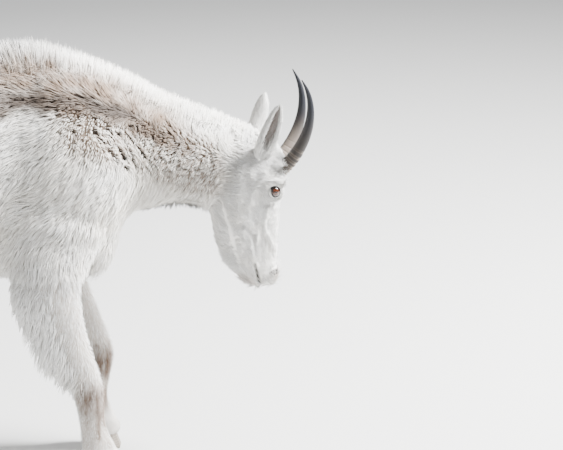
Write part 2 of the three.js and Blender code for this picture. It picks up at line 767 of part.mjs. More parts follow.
function makeTrunk() {
  const cell = [26, 22, 22];
  const chest = body([-230, -240, 440], [300, 240, 1080], cell, FORM_TOLERANCE);
  addNode("chest", between(between(chest, CUTS.elbow, null), CUTS.chest_barrel, CUTS.neck_chest), "coat");
  const barrel = body([-570, -240, 440], [-160, 240, 1080], cell, FORM_TOLERANCE);
  addNode("barrel", between(barrel, CUTS.barrel_rump, CUTS.chest_barrel), "coat");
  const rump = body([-910, -240, 480], [-490, 240, 1000], cell, FORM_TOLERANCE);
  addNode("rump", between(between(rump, CUTS.stifle, null), CUTS.rump_tail, CUTS.barrel_rump), "coat");
  const tail = body([-990, -60, 660], [-830, 60, 860], [13, 13, 13], LEG_TOLERANCE);
  addNode("tail", between(tail, null, CUTS.rump_tail), "coat");
  const neck = body([60, -180, 540], [520, 180, 1080], [22, 19, 19], FORM_TOLERANCE);
  addNode("neck", between(neck, CUTS.neck_chest, CUTS.head_neck), "coat");
}

const mirrored = ([x, y, z], side) => [x, side * y, z];

function makeLegs() {
  for (const [name, rows] of Object.entries(LEGS)) {
    const side = name.endsWith("left") ? 1 : -1;
    const fore = name.startsWith("fore");
    const [top, joint] = fore ? [CUTS.elbow, CUTS.below_knee] : [CUTS.stifle, CUTS.below_hock];
    const xs = rows.map((r) => r[0]);
    const [rear, front] = [Math.min(...xs) - 150, Math.max(...xs) + 110];
    const [inner, outer] = [side * 12, side * 200].sort((a, b) => a - b);
    const [low, high] = [joint.at[2] - 30, top.at[2] + 30];
    const upper = body([rear, inner, low], [front, outer, high], [15, 15, 20], LEG_TOLERANCE);
    addNode(name + (fore ? "_forearm" : "_shank"), between(upper, joint, top), "coat");
    const lower = body([rear, inner, 20], [front, outer, joint.at[2] + 30], [12, 12, 16], LEG_TOLERANCE);
    const cannon = between(lower, CUTS.coronet, joint);
    addNode(name + "_cannon", cannon, "coat");
    makeClaws(name, side, rows[rows.length - 1]);
    makeDewclaws(name, side, rows, cannon);
  }
}

// The outline of a claw's sole, seen from above: straight on the inner side, rounded at the toe and outside
function clawOutline(length, width, out) {
  const points = [];
  const steps = 7;
  for (let i = 0; i <= steps; i++) {
    const turn = mix(-Math.PI / 2, Math.PI / 2, i / steps);
    points.push([length * (0.5 + 0.5 * Math.sin(turn)), out * width * Math.cos(turn) ** 0.55]);
  }
  return points;
}

function makeClaws(leg, side, foot) {
  const [footX, footOut] = foot;
  for (const [which, out] of Object.entries(CLAW_SIDES)) {
    const outer = side * out;
    const levels = [0, 0.12, 0.55, 1];
    const rings = levels.map((level) => {
      const z = level * CLAW.height;
      const start = footX - 46 + CLAW.heel_slope * level;
      const length = CLAW.length - (CLAW.toe_slope + CLAW.heel_slope) * level - (level ? 0 : 3);
      const width = CLAW.width * (1 - 0.08 * level) - (level ? 0 : 1.5);
      return clawOutline(length, width, outer).map(
        ([x, y]) => new THREE.Vector3(start + x, side * footOut + outer * (CLAW.gap / 2) + y, z),
      );
    });
    addNode(`${leg}_claw_${which}`, loft(rings), "hoof");
  }
}

// Two short blunt claws behind each foot, rooted against its skin
function makeDewclaws(leg, side, rows, cannon) {
  const [x, out, z, , behind] = legAt(rows, DEWCLAW.z);
  const slope = vec(DEWCLAW.slope).normalize();
  const across = new THREE.Vector3(0, 1, 0);
  const upward = new THREE.Vector3().crossVectors(slope, across);
  const around = swollen(cannon, SEAT_GAP);
  for (const [which, way] of Object.entries(CLAW_SIDES)) {
    const root = vec([x - behind * 0.62, side * (out + way * DEWCLAW.out), z + 8]);
    const rings = [
      [0, 0.9],
      [0.55, 1],
      [0.88, 0.8],
      [1, 0.35],
    ].map(([share, size]) => {
      const centre = root.clone().addScaledVector(slope, share * DEWCLAW.length);
      return ring(centre, across, upward, DEWCLAW.radius * size, DEWCLAW.radius * size * 0.85, 8);
    });
    addNode(`${leg}_dewclaw_${which}`, loft(rings).subtract(around), "hoof");
  }
}

function ball(at, radius, detail) {
  const shape = new THREE.IcosahedronGeometry(radius, detail);
  shape.translate(...at);
  return solidOf(shape);
}

// An ellipsoid about a point, its half-sizes along three directions
function ellipsoid(at, directions, halves, detail) {
  const shape = new THREE.IcosahedronGeometry(1, detail);
  shape.scale(...halves);
  shape.applyMatrix4(new THREE.Matrix4().makeBasis(...directions));
  shape.translate(...asArray(at));
  return solidOf(shape);
}

// Three square directions: one along, one near a second, and the third across both, turning the right way
function squared(along, near) {
  const first = along.clone().normalize();
  const third = new THREE.Vector3().crossVectors(first, near).normalize();
  return [first, new THREE.Vector3().crossVectors(third, first), third];
}

// The opening between the lids, an almond that looks out of the head
function lidOpening(side) {
  const at = vec(mirrored(EYE.at, side));
  const out = outward(...asArray(at));
  const directions = squared(vec(LIDS.axis), out);
  return ellipsoid(at.addScaledVector(directions[1], EYE.radius), directions, LIDS.opening, 2);
}

function nostril(side) {
  const inside = new THREE.Vector3(NOSTRIL.x, 0, NOSTRIL.z);
  const outside = new THREE.Vector3(0, side, 0);
  const at = inside.clone().addScaledVector(outside, reachOf(inside, outside, 60));
  const axes = squared(vec(mirrored(NOSTRIL.axis, side)), outward(...asArray(at)));
  return ellipsoid(at, axes, NOSTRIL.halves, 2);
}

// The line of the mouth: a narrow groove from one corner round the lips to the other
function mouthGroove() {
  const centre = vec(MOUTH.centre);
  const down = vec(MOUTH.down).normalize();
  const across = new THREE.Vector3().crossVectors(down, new THREE.Vector3(0, 1, 0));
  const steps = 14;
  const rings = Array.from({ length: steps + 1 }, (_, i) => {
    const turn = (Math.PI * i) / steps;
    const look = new THREE.Vector3(0, -Math.cos(turn), 0).addScaledVector(down, Math.sin(turn));
    const at = centre.clone().addScaledVector(look, reachOf(centre, look, 120));
    const fade = i === 0 || i === steps ? 0.4 : 1;
    return ring(at, across, look, MOUTH.half * fade, MOUTH.depth * fade, 6);
  });
  return loft(rings);
}

function makeHead() {
  const [low, high] = [
    [390, -110, 405],
    [640, 110, 860],
  ];
  const form = surfaceIn(bodyDistance, low, high, [9, 9, 9]).simplify(FINE_TOLERANCE);
  const around = swollen(form, SEAT_GAP);
  let head = between(wasm.Manifold.union([form, ...locksIn(low, high)]), CUTS.head_neck, null);
  for (const [name, side] of Object.entries(SIDES)) {
    const horn = hornSolid(side).subtract(around);
    addNode(`horn_${name}`, horn.asOriginal().simplify(FACE_TOLERANCE), "horn");
    addNode(`ear_${name}`, earSolid(side, EAR_POSES[name]).subtract(around), "coat");
    const at = mirrored(EYE.at, side);
    addNode(`eye_${name}`, ball(at, EYE.radius, 2), "eye");
    head = head.add(ball(at, EYE.radius + LIDS.thick, 3)).subtract(ball(at, EYE.radius + GAP, 3));
    head = head.subtract(lidOpening(side)).subtract(nostril(side));
  }
  addNode("head", head.subtract(mouthGroove()).asOriginal().simplify(FACE_TOLERANCE), "coat");
}

// Centres and frames along a curved piece: its own direction, the way across it and the way out of its plane
function frames(rows, side, steps, facing) {
  const dense = smoothRows(rows, steps).map(([x, out, z, ...sizes]) => {
    return { at: vec([x, side * out, z]), sizes };
  });
  return dense.map((row, i) => {
    const ahead = dense[Math.min(i + 1, dense.length - 1)].at;
    const behind = dense[Math.max(i - 1, 0)].at;
    const t = ahead.clone().sub(behind).normalize();
    const out = facing.clone().addScaledVector(t, -facing.dot(t)).normalize();
    return { ...row, t, out, across: new THREE.Vector3().crossVectors(t, out) };
  });
}

function hornSolid(side) {
  const rows = frames(HORN, side, 2, new THREE.Vector3(0, 1, 0));
  return loft(
    rows.map(({ at, sizes, out, across }, i) => {
      const ridge = i > 1 && i < 9 ? 0.6 * (i % 2 ? 1 : -1) : 0;
      return ring(at, across, out, sizes[0] + ridge, (sizes[0] + ridge) * 0.88, 8);
    }),
  );
}

function earSolid(side, { facing, rise }) {
  const root = EAR[0][2];
  const held = EAR.map(([x, out, z, ...sizes]) => [x, out, root + (z - root) * rise, ...sizes]);
  const rows = frames(held, side, 1, vec(facing));
  const outer = loft(
    rows.map(({ at, sizes, out, across }) => ring(at, across, out, sizes[0], sizes[1], 10)),
  );
  const wall = 4;
  const cup = loft(
    rows.slice(1, -1).map(({ at, sizes, out, across }) => {
      const half = Math.max(sizes[0] - wall, 2);
      return ring(at.clone().addScaledVector(out, sizes[1] * 0.55), across, out, half, sizes[1] * 0.95, 8);
    }),
  );
  return outer.subtract(cup);
}

addCrestLocks();
addChapsLocks();
addFringeLocks();
addTailLocks();
addBeardLocks();
makeTrunk();
makeLegs();
makeHead();

// The origin is put on the ground under the middle of the whole animal
const extent = new THREE.Box3().setFromObject(goat);
const middle = extent.getCenter(new THREE.Vector3());
goat.position.set(-middle.x, -middle.y, -extent.min.z);

export default goat;
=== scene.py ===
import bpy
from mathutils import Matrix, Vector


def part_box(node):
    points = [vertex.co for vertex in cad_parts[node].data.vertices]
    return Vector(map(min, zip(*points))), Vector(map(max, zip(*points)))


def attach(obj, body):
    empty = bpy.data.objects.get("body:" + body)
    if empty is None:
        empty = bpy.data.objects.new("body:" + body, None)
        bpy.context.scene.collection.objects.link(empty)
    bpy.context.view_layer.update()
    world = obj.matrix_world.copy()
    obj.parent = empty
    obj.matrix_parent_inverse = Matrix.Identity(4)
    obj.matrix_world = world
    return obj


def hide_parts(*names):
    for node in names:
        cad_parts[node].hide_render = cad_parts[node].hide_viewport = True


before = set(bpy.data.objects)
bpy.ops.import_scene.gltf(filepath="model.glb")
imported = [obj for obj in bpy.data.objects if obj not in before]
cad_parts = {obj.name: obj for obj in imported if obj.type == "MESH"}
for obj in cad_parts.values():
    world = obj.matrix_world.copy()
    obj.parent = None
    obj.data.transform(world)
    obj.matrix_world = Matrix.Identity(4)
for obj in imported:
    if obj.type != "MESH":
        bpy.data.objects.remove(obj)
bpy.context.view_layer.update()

import math

import bpy
import numpy as np
from mathutils import Vector

SEED = 7

# All tables are in millimetres: x = 0 under the withers, +x ahead, +y the animal's left, z = 0 the ground.
# Each leg's x tells whether it is a foreleg or a hindleg
LEG_SPLIT = -330
TRUNK_SPLIT = -300
# Trunk stations: x, top, bottom, half-width
TRUNK = [
    (-835, 800, 650, 82), (-790, 848, 600, 122), (-720, 872, 565, 150), (-600, 888, 548, 168),
    (-450, 902, 514, 184), (-300, 922, 492, 188), (-150, 945, 478, 178), (0, 958, 470, 158),
    (100, 936, 474, 138), (175, 870, 512, 108),
]
# Neck and head stations: x, z, ahead or above, behind or below, half-width
NECK = [
    (60, 790, 150, 200, 122), (160, 766, 142, 165, 102), (250, 748, 127, 128, 86), (305, 738, 110, 110, 79),
    (360, 730, 98, 98, 73), (420, 716, 92, 93, 69), (470, 708, 80, 80, 64),
]
HEAD = [
    (530, 748, 46, 60, 50), (535, 716, 53, 80, 60), (526, 676, 61, 98, 60), (511, 636, 69, 95, 55),
    (501, 591, 75, 83, 49), (501, 546, 73, 75, 43), (509, 501, 65, 63, 38), (521, 467, 54, 48, 35),
    (532, 442, 39, 31, 30),
]
TAIL = [(-820, 792, 42, 38, 38), (-866, 774, 26, 22, 26), (-908, 744, 18, 16, 20), (-936, 708, 10, 10, 12)]
# Crest line that the hair tips reach: x, z, and the hair's height there
CREST = [
    (505, 806, 26), (462, 827, 36), (421, 848, 42), (358, 874, 48), (304, 897, 52), (249, 930, 56),
    (205, 955, 58), (141, 984, 58), (78, 1007, 58), (34, 1020, 58), (-12, 1025, 56), (-60, 1018, 52),
    (-150, 993, 42), (-300, 958, 32), (-450, 934, 26), (-600, 914, 22), (-740, 893, 18), (-800, 864, 14),
]
CREST_HALF_WIDTH = 30
CREST_ROOT_DEPTH = 70
CREST_CORE = 0.15
# Leg stations: x, distance out, z, ahead, behind, half-width
LEGS = {
    "foreleg_right": [
        (58, 100, 620, 92, 100, 58), (42, 112, 545, 90, 100, 64), (38, 122, 487, 76, 88, 58),
        (48, 126, 435, 63, 76, 51), (66, 127, 370, 54, 60, 44), (88, 127, 312, 47, 50, 39),
        (106, 126, 264, 43, 42, 37), (114, 125, 234, 42, 40, 37), (118, 125, 203, 37, 34, 33),
        (122, 125, 162, 33, 31, 29), (128, 125, 126, 35, 34, 30), (134, 125, 98, 40, 38, 35),
        (150, 125, 68, 38, 36, 34), (163, 125, 40, 41, 36, 34),
    ],
    "foreleg_left": [
        (64, 100, 620, 92, 100, 58), (54, 112, 545, 90, 100, 64), (60, 120, 487, 76, 88, 58),
        (78, 123, 435, 63, 76, 51), (107, 124, 370, 54, 60, 44), (134, 124, 312, 47, 50, 39),
        (154, 123, 266, 43, 42, 37), (160, 122, 238, 43, 40, 37), (160, 122, 205, 37, 34, 33),
        (155, 122, 164, 33, 31, 29), (151, 122, 128, 35, 34, 30), (151, 122, 100, 40, 38, 35),
        (163, 122, 69, 38, 36, 34), (175, 122, 40, 41, 36, 34),
    ],
    "hindleg_right": [
        (-695, 88, 720, 125, 118, 78), (-668, 104, 640, 118, 122, 76), (-655, 116, 565, 96, 104, 66),
        (-675, 120, 495, 74, 78, 54), (-714, 121, 428, 57, 58, 44), (-754, 121, 372, 47, 46, 38),
        (-782, 121, 326, 42, 42, 36), (-787, 121, 280, 37, 36, 32), (-781, 121, 215, 34, 33, 29),
        (-776, 121, 150, 34, 34, 30), (-771, 121, 105, 40, 38, 35), (-755, 121, 71, 38, 36, 34),
        (-742, 121, 40, 41, 36, 34),
    ],
    "hindleg_left": [
        (-690, 88, 720, 125, 118, 78), (-652, 104, 640, 118, 122, 76), (-628, 116, 565, 96, 104, 66),
        (-634, 120, 495, 74, 78, 54), (-660, 121, 430, 57, 58, 44), (-688, 121, 376, 47, 46, 38),
        (-708, 121, 330, 42, 42, 36), (-706, 121, 284, 37, 36, 32), (-692, 121, 217, 34, 33, 29),
        (-680, 121, 150, 34, 34, 30), (-673, 121, 105, 40, 38, 35), (-657, 121, 71, 38, 36, 34),
        (-644, 121, 40, 41, 36, 34),
    ],
}
# Long hair behind the legs: height, how far its tips reach behind the leg, half-width
CHAPS = {
    "fore": [
        (500, 8, 40), (470, 16, 42), (435, 19, 40), (395, 20, 36), (356, 28, 33), (325, 42, 31),
        (300, 46, 29), (278, 32, 27), (256, 12, 25),
    ],
    "hind": [
        (640, 6, 56), (590, 16, 56), (530, 24, 48), (480, 30, 42), (435, 30, 36), (400, 22, 32),
        (365, 6, 29),
    ],
}
CHAPS_CORE = 0.25
# Muscles and bony bumps, alike on both sides: x, distance out, z, half-sizes, and how softly each joins
BODY_BUMPS = {
    "shoulder": ((70, 92, 720, 118, 62, 150), 60),
    "haunch": ((-690, 88, 735, 120, 62, 105), 60),
    "brisket": ((146, 26, 552, 52, 60, 66), 40),
}
HEAD_BUMPS = {
    "brow": ((559, 50, 684, 25, 15, 15), 12),
    "orbit": ((551, 45, 661, 27, 19, 27), 12),
    "horn_boss": ((566, 33, 716, 24, 22, 22), 12),
    "cheek": ((472, 30, 606, 46, 24, 62), 30),
    "cheek_ridge": ((524, 38, 612, 20, 14, 34), 12),
    "nostril_wing": ((560, 15, 455, 15, 14, 17), 12),
    "upper_lip": ((551, 14, 438, 17, 15, 14), 12),
    "chin": ((510, 0, 444, 24, 22, 18), 12),
}
# The left eyeball's middle and radius
EYE = np.array([553.0, 52.0, 662.0])
EYE_RADIUS = 15.5

# The way from the tables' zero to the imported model's, found from the right eyeball
EYE_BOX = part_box("eye_right")
SHIFT = np.array((EYE_BOX[0] + EYE_BOX[1]) / 2) * 1000 - EYE * [1, -1, 1]


def to_frame(points):
    """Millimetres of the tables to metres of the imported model."""
    return (np.asarray(points, float) + SHIFT) / 1000


def smooth_rows(rows, steps):
    """Rows made denser on a smooth curve through them."""
    rows = np.array(rows, float)
    out = []
    for i in range(len(rows) - 1):
        p, a, b, q = rows[max(i - 1, 0)], rows[i], rows[i + 1], rows[min(i + 2, len(rows) - 1)]
        m0, m1, d = (b - p) / 2, (q - a) / 2, b - a
        for s in range(steps):
            t = s / steps
            out.append(a + m0 * t + (3 * d - 2 * m0 - m1) * t * t + (m0 + m1 - 2 * d) * t**3)
    out.append(rows[-1])
    return np.array(out)


def ramp(low, high, value):
    """0 below low, 1 above high, smooth between; low may be above high."""
    t = np.clip((value - low) / (high - low), 0, 1)
    return t * t * (3 - 2 * t)


def unit(v):
    return v / np.maximum(np.linalg.norm(v, axis=-1, keepdims=True), 1e-9)


def columns(*parts):
    """Numbers and arrays side by side, a row for each point."""
    return np.stack(np.broadcast_arrays(*parts), 1)


def folded(p):
    """The points with the right side laid over the left."""
    return columns(p[:, 0], np.abs(p[:, 1]), p[:, 2])


FAR = 120.0


class Chain:
    """Elliptical stations along a line: x, y, z, ahead, behind, half-width."""

    def __init__(self, rows, steps=3, cap_share=0.6):
        dense = smooth_rows(rows, steps)
        self.centres = dense[:, :3]
        self.segments = []
        for start, end in zip(dense[:-1], dense[1:]):
            along = end[:3] - start[:3]
            length = np.linalg.norm(along)
            t = along / length
            side = unit(np.array([0.0, 1.0, 0.0]) - t * t[1])
            up = np.cross(t, side)
            self.segments.append((start[:3], t, side, up, length, start[3:], end[3:], cap_share))
        reach = dense[:, 3:].max() + 80
        self.low = dense[:, :3].min(0) - reach
        self.high = dense[:, :3].max(0) + reach

    def distance(self, p):
        """Distance to the surface, negative inside, and FAR where the chain is far away."""
        best = np.full(len(p), FAR, np.float32)
        near = np.all((p > self.low) & (p < self.high), axis=1)
        q = p[near].astype(np.float32)
        if not len(q):
            return best
        found = best[near]
        for a, t, side, up, length, first, last, cap_share in self.segments:
            d = q - a.astype(np.float32)
            along = d @ t.astype(np.float32)
            h = np.clip(along, 0, length)
            over = along - h
            share = h / length
            lateral = d @ side.astype(np.float32)
            rise = d @ up.astype(np.float32)
            ahead, behind, half = (first[k] + (last[k] - first[k]) * share for k in range(3))
            cap = np.minimum(half, (ahead + behind) / 2) * cap_share
            reach = np.where(rise > 0, ahead, behind)
            k = np.sqrt((lateral / half) ** 2 + (rise / reach) ** 2 + (over / cap) ** 2)
            r = np.sqrt(lateral**2 + rise**2 + over**2)
            found = np.minimum(found, r * (1 - 1 / np.maximum(k, 1e-3)))
        best[near] = found
        return best


def bump_distance(bump, p):
    """Distance to an ellipsoid alike on both sides."""
    cx, cy, cz, rx, ry, rz = bump
    d = folded(p) - [cx, cy, cz]
    k = np.linalg.norm(d / [rx, ry, rz], axis=1)
    return np.linalg.norm(d, axis=1) * (1 - 1 / np.maximum(k, 1e-3))


def blend(a, b, radius):
    """The smaller of two distances, rounded where they meet."""
    h = np.maximum(radius - np.abs(a - b), 0) / radius
    return np.minimum(a, b) - h * h * radius / 4


def midline(rows):
    return [(x, 0, *rest) for x, *rest in rows]


def side_of(name):
    return 1 if name.endswith("left") else -1


def leg_at(rows, z):
    """A leg's station at a height."""
    rows = np.array(rows, float)[::-1]
    return np.array([np.interp(z, rows[:, 2], rows[:, k]) for k in range(rows.shape[1])])


def trunk_rows():
    return [(x, 0, (top + low) / 2, (top - low) / 2, (top - low) / 2, half) for x, top, low, half in TRUNK]


def crest_rows():
    rows = []
    for x, z, tall in CREST:
        up = CREST_ROOT_DEPTH + tall * CREST_CORE
        rows.append((x, 0, z - tall - CREST_ROOT_DEPTH, up, CREST_ROOT_DEPTH, CREST_HALF_WIDTH))
    return rows[::-1]


def chaps_table(name):
    return CHAPS["fore" if name.startswith("fore") else "hind"]


def chaps_rows(name, rows):
    out = []
    for z, reach, half in chaps_table(name):
        x, away, _, _, behind, _ = leg_at(rows, z)
        rear = behind * 0.6 + reach * CHAPS_CORE
        out.append((x - behind * 0.4, side_of(name) * away, z, behind * 0.3, rear, half * 0.9))
    return out


TRUNK_CHAIN = Chain(trunk_rows())
NECK_CHAIN = Chain(midline(NECK))
HEAD_CHAIN = Chain(midline(HEAD))
TAIL_CHAIN = Chain(midline(TAIL))
CREST_CHAIN = Chain(crest_rows(), 2, 0.4)
LEG_CHAINS = {n: Chain([(x, side_of(n) * out, *rest) for x, out, *rest in rows]) for n, rows in LEGS.items()}
CHAPS_CHAINS = [Chain(chaps_rows(n, rows), 2, 0.5) for n, rows in LEGS.items()]

# Planes that the head and neck begin at, as in the solids
HEAD_PLANE = (np.array([450, 0, 710]), unit(np.array([0.925, 0, -0.379])))
NECK_PLANE = (np.array([190, 0, 780]), unit(np.array([0.94, 0, 0.34])))

CREST_LINE = np.array(CREST, float)[::-1]


def crest_z(x):
    return np.interp(x, CREST_LINE[:, 0], CREST_LINE[:, 1])


def crest_tall(x):
    return np.interp(x, CREST_LINE[:, 0], CREST_LINE[:, 2])


def zones(p):
    """How much each point belongs to each part of the body, each from 0 to 1."""
    x, y, z = p[:, 0], np.abs(p[:, 1]), p[:, 2]
    head = ramp(-18, 26, (p - HEAD_PLANE[0]) @ HEAD_PLANE[1]) * ramp(380, 400, x)
    neck = (1 - head) * ramp(-70, 60, (p - NECK_PLANE[0]) @ NECK_PLANE[1]) * ramp(560, 600, z)
    leg = np.where(x > TRUNK_SPLIT, ramp(520, 450, z), ramp(610, 490, z)) * (x < 330)
    knee = np.where(x > TRUNK_SPLIT, 225, 300)
    cannon = ramp(knee + 25, knee - 30, z)
    foot = ramp(112, 84, z)
    below = crest_z(x) - z
    tall = crest_tall(x)
    crest = ramp(tall + 34, tall + 4, below) * ramp(50, 28, y) * ramp(525, 500, x) * ramp(-815, -780, x)
    tail = ramp(-846, -872, x + (z - 770) * 0.3) * (y < 70)
    return dict(head=head, neck=neck, leg=leg, cannon=cannon, foot=foot, crest=crest, tail=tail, below=below)


def coat_depth(p):
    """How far the skin lies inside the outer form."""
    w = zones(p)
    depth = np.full(len(p), 15.0)
    depth += (12 - depth) * w["neck"]
    depth += (8 - depth) * w["leg"]
    depth += (4.5 - depth) * w["cannon"] * w["leg"]
    depth += (3.0 - depth) * w["foot"] * w["leg"]
    face = ramp(760, 660, p[:, 2])
    depth += ((7 - 4.2 * face) - depth) * w["head"]
    return depth + (2.5 - depth) * w["tail"]


def polyline_distance(p, points):
    best = np.full(len(p), 1e3)
    for a, b in zip(points[:-1], points[1:]):
        a, b = np.array(a, float), np.array(b, float)
        ab = b - a
        t = np.clip((p - a) @ ab / (ab @ ab), 0, 1)
        best = np.minimum(best, np.linalg.norm(p - a - t[:, None] * ab, axis=1))
    return best


# The mouth: its plane's turning point, the way down to the lips; the nostril: middle, run and half-sizes
MOUTH_CENTRE = np.array([512.0, 0, 482])
MOUTH_DOWN = unit(np.array([0.26, 0, -0.966]))
MOUTH_ACROSS = np.cross(MOUTH_DOWN, [0, 1, 0])
NOSTRIL = np.array([561.0, 25.0, 460.5])
NOSTRIL_RUN = unit(np.array([0.91, -0.34, 0.25]))
# Ridges and hollows of the face: height, width and the line that each follows on one side
RIDGE_SHARE = 1.35
FACE_RIDGES = [
    (3.8, 4.8, [(466, 54, 606), (480, 57, 602), (493, 57, 595), (505, 51, 578), (516, 44, 565)]),
    (3.4, 5.2, [(486, 51, 572), (499, 43, 545), (507, 39, 522), (509, 37, 501), (516, 33, 481)]),
    (3.4, 4.4, [
        (556, 57, 636), (538, 51, 612), (533, 47, 584), (538, 38, 559), (551, 29, 536), (563, 16, 507),
    ]),
    (2.4, 4.2, [(519, 43, 558), (515, 38, 532), (518, 35, 512), (523, 33, 495)]),
    (1.2, 9.0, [(481, 64, 694), (474, 58, 668), (473, 55, 634), (473, 56, 612)]),
    (1.5, 6.5, [(505, 58, 672), (503, 56, 648), (492, 55, 626)]),
    (0.9, 10.0, [(440, 47, 590), (455, 48, 570), (452, 40, 545), (450, 28, 515)]),
    (3.2, 6.0, [(504, 60, 704), (516, 58, 681), (527, 60, 691), (536, 58, 703)]),
    (2.6, 4.5, [(534, 64, 680), (546, 65, 688), (560, 62, 688), (574, 54, 682)]),
    (-1.8, 3.0, [(556, 64, 680), (566, 62, 679), (574, 58, 676)]),
    (-2.6, 5.5, [(478, 54, 588), (492, 52, 578), (504, 46, 560)]),
    (-2.6, 5.0, [(506, 42, 556), (512, 39, 535), (514, 36, 510)]),
    (-2.4, 5.0, [(526, 46, 580), (528, 41, 555), (533, 36, 530)]),
]


def from_nostril(p):
    """How far along the nostril's slit each point is, and how far beside it."""
    d = folded(p) - NOSTRIL
    run = d @ NOSTRIL_RUN
    return run, np.sqrt(np.maximum((d**2).sum(1) - run**2, 0))


def face_detail(p):
    """What the skin of the face adds to the plain form: ridges, the mouth's cleft, lips and nostrils."""
    q = folded(p)
    change = np.zeros(len(p))
    for height, width, line in FACE_RIDGES:
        change -= RIDGE_SHARE * height * np.exp(-((polyline_distance(q, line) / width) ** 2))
    off = (p - MOUTH_CENTRE) @ MOUTH_ACROSS
    down = (p - MOUTH_CENTRE) @ MOUTH_DOWN
    within = ramp(-12, -2, down)
    change += 5.5 * within * np.exp(-((off / 1.9) ** 2))
    change -= 1.5 * within * np.exp(-(((np.abs(off) - 5.5) / 3.0) ** 2))
    run, rest = from_nostril(p)
    change += 5.5 * np.exp(-((run / 11.5) ** 4)) * np.exp(-((rest / 3.6) ** 2))
    change -= 1.6 * np.exp(-((run / 12) ** 4)) * np.exp(-(((rest - 7.5) / 3) ** 2))
    return change


# How wide each part's blend into the body is
BLENDS = dict(neck=70, leg=56, chaps=14, crest=30, tail=24, head=58)


def body_distance(p):
    """Distance to the whole animal's outer form, negative inside."""
    d = blend(TRUNK_CHAIN.distance(p), NECK_CHAIN.distance(p), BLENDS["neck"])
    for bump, radius in BODY_BUMPS.values():
        d = blend(d, bump_distance(bump, p), radius)
    for chain in LEG_CHAINS.values():
        d = blend(d, chain.distance(p), BLENDS["leg"])
    for chain in CHAPS_CHAINS:
        d = blend(d, chain.distance(p), BLENDS["chaps"])
    d = blend(d, CREST_CHAIN.distance(p), BLENDS["crest"])
    d = blend(d, TAIL_CHAIN.distance(p), BLENDS["tail"])
    head = HEAD_CHAIN.distance(p)
    for bump, radius in HEAD_BUMPS.values():
        head = blend(head, bump_distance(bump, p), radius)
    return blend(d, head, BLENDS["head"])


def skin_distance(p):
    """Distance to the skin, which lies inside the outer form by the coat's depth."""
    d = body_distance(p) + coat_depth(p)
    face = p[:, 0] > 420
    if face.any():
        q = p[face]
        d[face] += face_detail(q)
        eye = np.linalg.norm(folded(q) - EYE, axis=1)
        d[face] = np.maximum(d[face], EYE_RADIUS - 1.2 - eye)
    return d


def grid_line(stops):
    """Grid places along an axis: pairs of a place and the step from there on."""
    out = [stops[0][0]]
    for (_, step), (end, _) in zip(stops[:-1], stops[1:]):
        while out[-1] < end - 1e-6:
            out.append(out[-1] + step)
    return np.array(out, float)


def surface_net(xs, ys, zs, field):
    """Points and quads of a field's zero surface on a grid, evaluated only near the surface."""
    shape = (len(xs), len(ys), len(zs))
    coarse, margin = 4, 34
    index = [np.unique(np.append(np.arange(0, n, coarse), n - 1)) for n in shape]
    cx, cy, cz = np.meshgrid(xs[index[0]], ys[index[1]], zs[index[2]], indexing="ij")
    rough = field(np.stack([cx.ravel(), cy.ravel(), cz.ravel()], 1)).reshape(cx.shape)
    nearest = [
        np.clip(np.searchsorted(i, np.arange(n), side="right") - 1, 0, len(i) - 2)
        for i, n in zip(index, shape)
    ]
    low = rough[np.ix_(*nearest)]
    high = rough[np.ix_(*[n + 1 for n in nearest])]
    values = np.minimum(low, high).astype(np.float32)
    band = (np.minimum(np.abs(low), np.abs(high)) < margin) | (np.sign(low) != np.sign(high))
    i, j, k = np.nonzero(band)
    values[i, j, k] = field(np.stack([xs[i], ys[j], zs[k]], 1))
    inside = values < 0
    corners = [(a, b, c) for a in (0, 1) for b in (0, 1) for c in (0, 1)]
    core = tuple(n - 1 for n in shape)
    filled = inside.astype(np.int8)
    count = sum(filled[a : a + core[0], b : b + core[1], c : c + core[2]] for a, b, c in corners)
    cells = np.argwhere((count > 0) & (count < 8))
    number = np.full(core, -1, np.int64)
    number[tuple(cells.T)] = np.arange(len(cells))
    total = np.zeros((len(cells), 3))
    hits = np.zeros(len(cells))
    for a in corners:
        for b in corners:
            if sum(abs(m - n) for m, n in zip(a, b)) != 1 or a > b:
                continue
            va = values[tuple((cells + a).T)]
            vb = values[tuple((cells + b).T)]
            cut = (va < 0) != (vb < 0)
            t = np.where(cut, va / np.where(cut, va - vb, 1), 0)
            total += np.where(cut[:, None], np.array(a) + t[:, None] * (np.array(b) - a), 0)
            hits += cut
    inner = total / hits[:, None]
    points = np.empty((len(cells), 3))
    for axis, line in enumerate((xs, ys, zs)):
        start = line[cells[:, axis]]
        points[:, axis] = start + inner[:, axis] * (line[cells[:, axis] + 1] - start)
    quads = []
    for axis in range(3):
        other = [n for n in range(3) if n != axis]
        step = np.eye(3, dtype=int)
        a = inside[tuple(slice(0, core[n]) for n in range(3))]
        moved = inside[tuple(slice(1, core[n] + 1) if n == axis else slice(0, core[n]) for n in range(3))]
        where = np.argwhere(a != moved)
        where = where[(where[:, other[0]] > 0) & (where[:, other[1]] > 0)]
        leaves = a[tuple(where.T)]
        first, second = step[other[0]], step[other[1]]
        ring = [where - first - second, where - second, where, where - first]
        quad = np.stack([number[tuple(r.T)] for r in ring], 1)
        flip = leaves if axis == 1 else ~leaves
        quad[flip] = quad[flip][:, ::-1]
        quads.append(quad)
    quads = np.concatenate(quads)
    return points, quads[(quads >= 0).all(1)]


def slope(field, p, step=0.8):
    """Outward direction of a field at points."""
    d = field(p)
    out = np.stack([field(p + step * axis) - d for axis in np.eye(3)], 1) / step
    return d, out


def settle(field, p, most=3.0, rounds=1):
    """Points moved onto a field's own surface."""
    for _ in range(rounds):
        d, out = slope(field, p)
        steep = np.maximum((out**2).sum(1), 0.25)
        p = p - np.clip(d / steep, -most, most)[:, None] * out
    return p


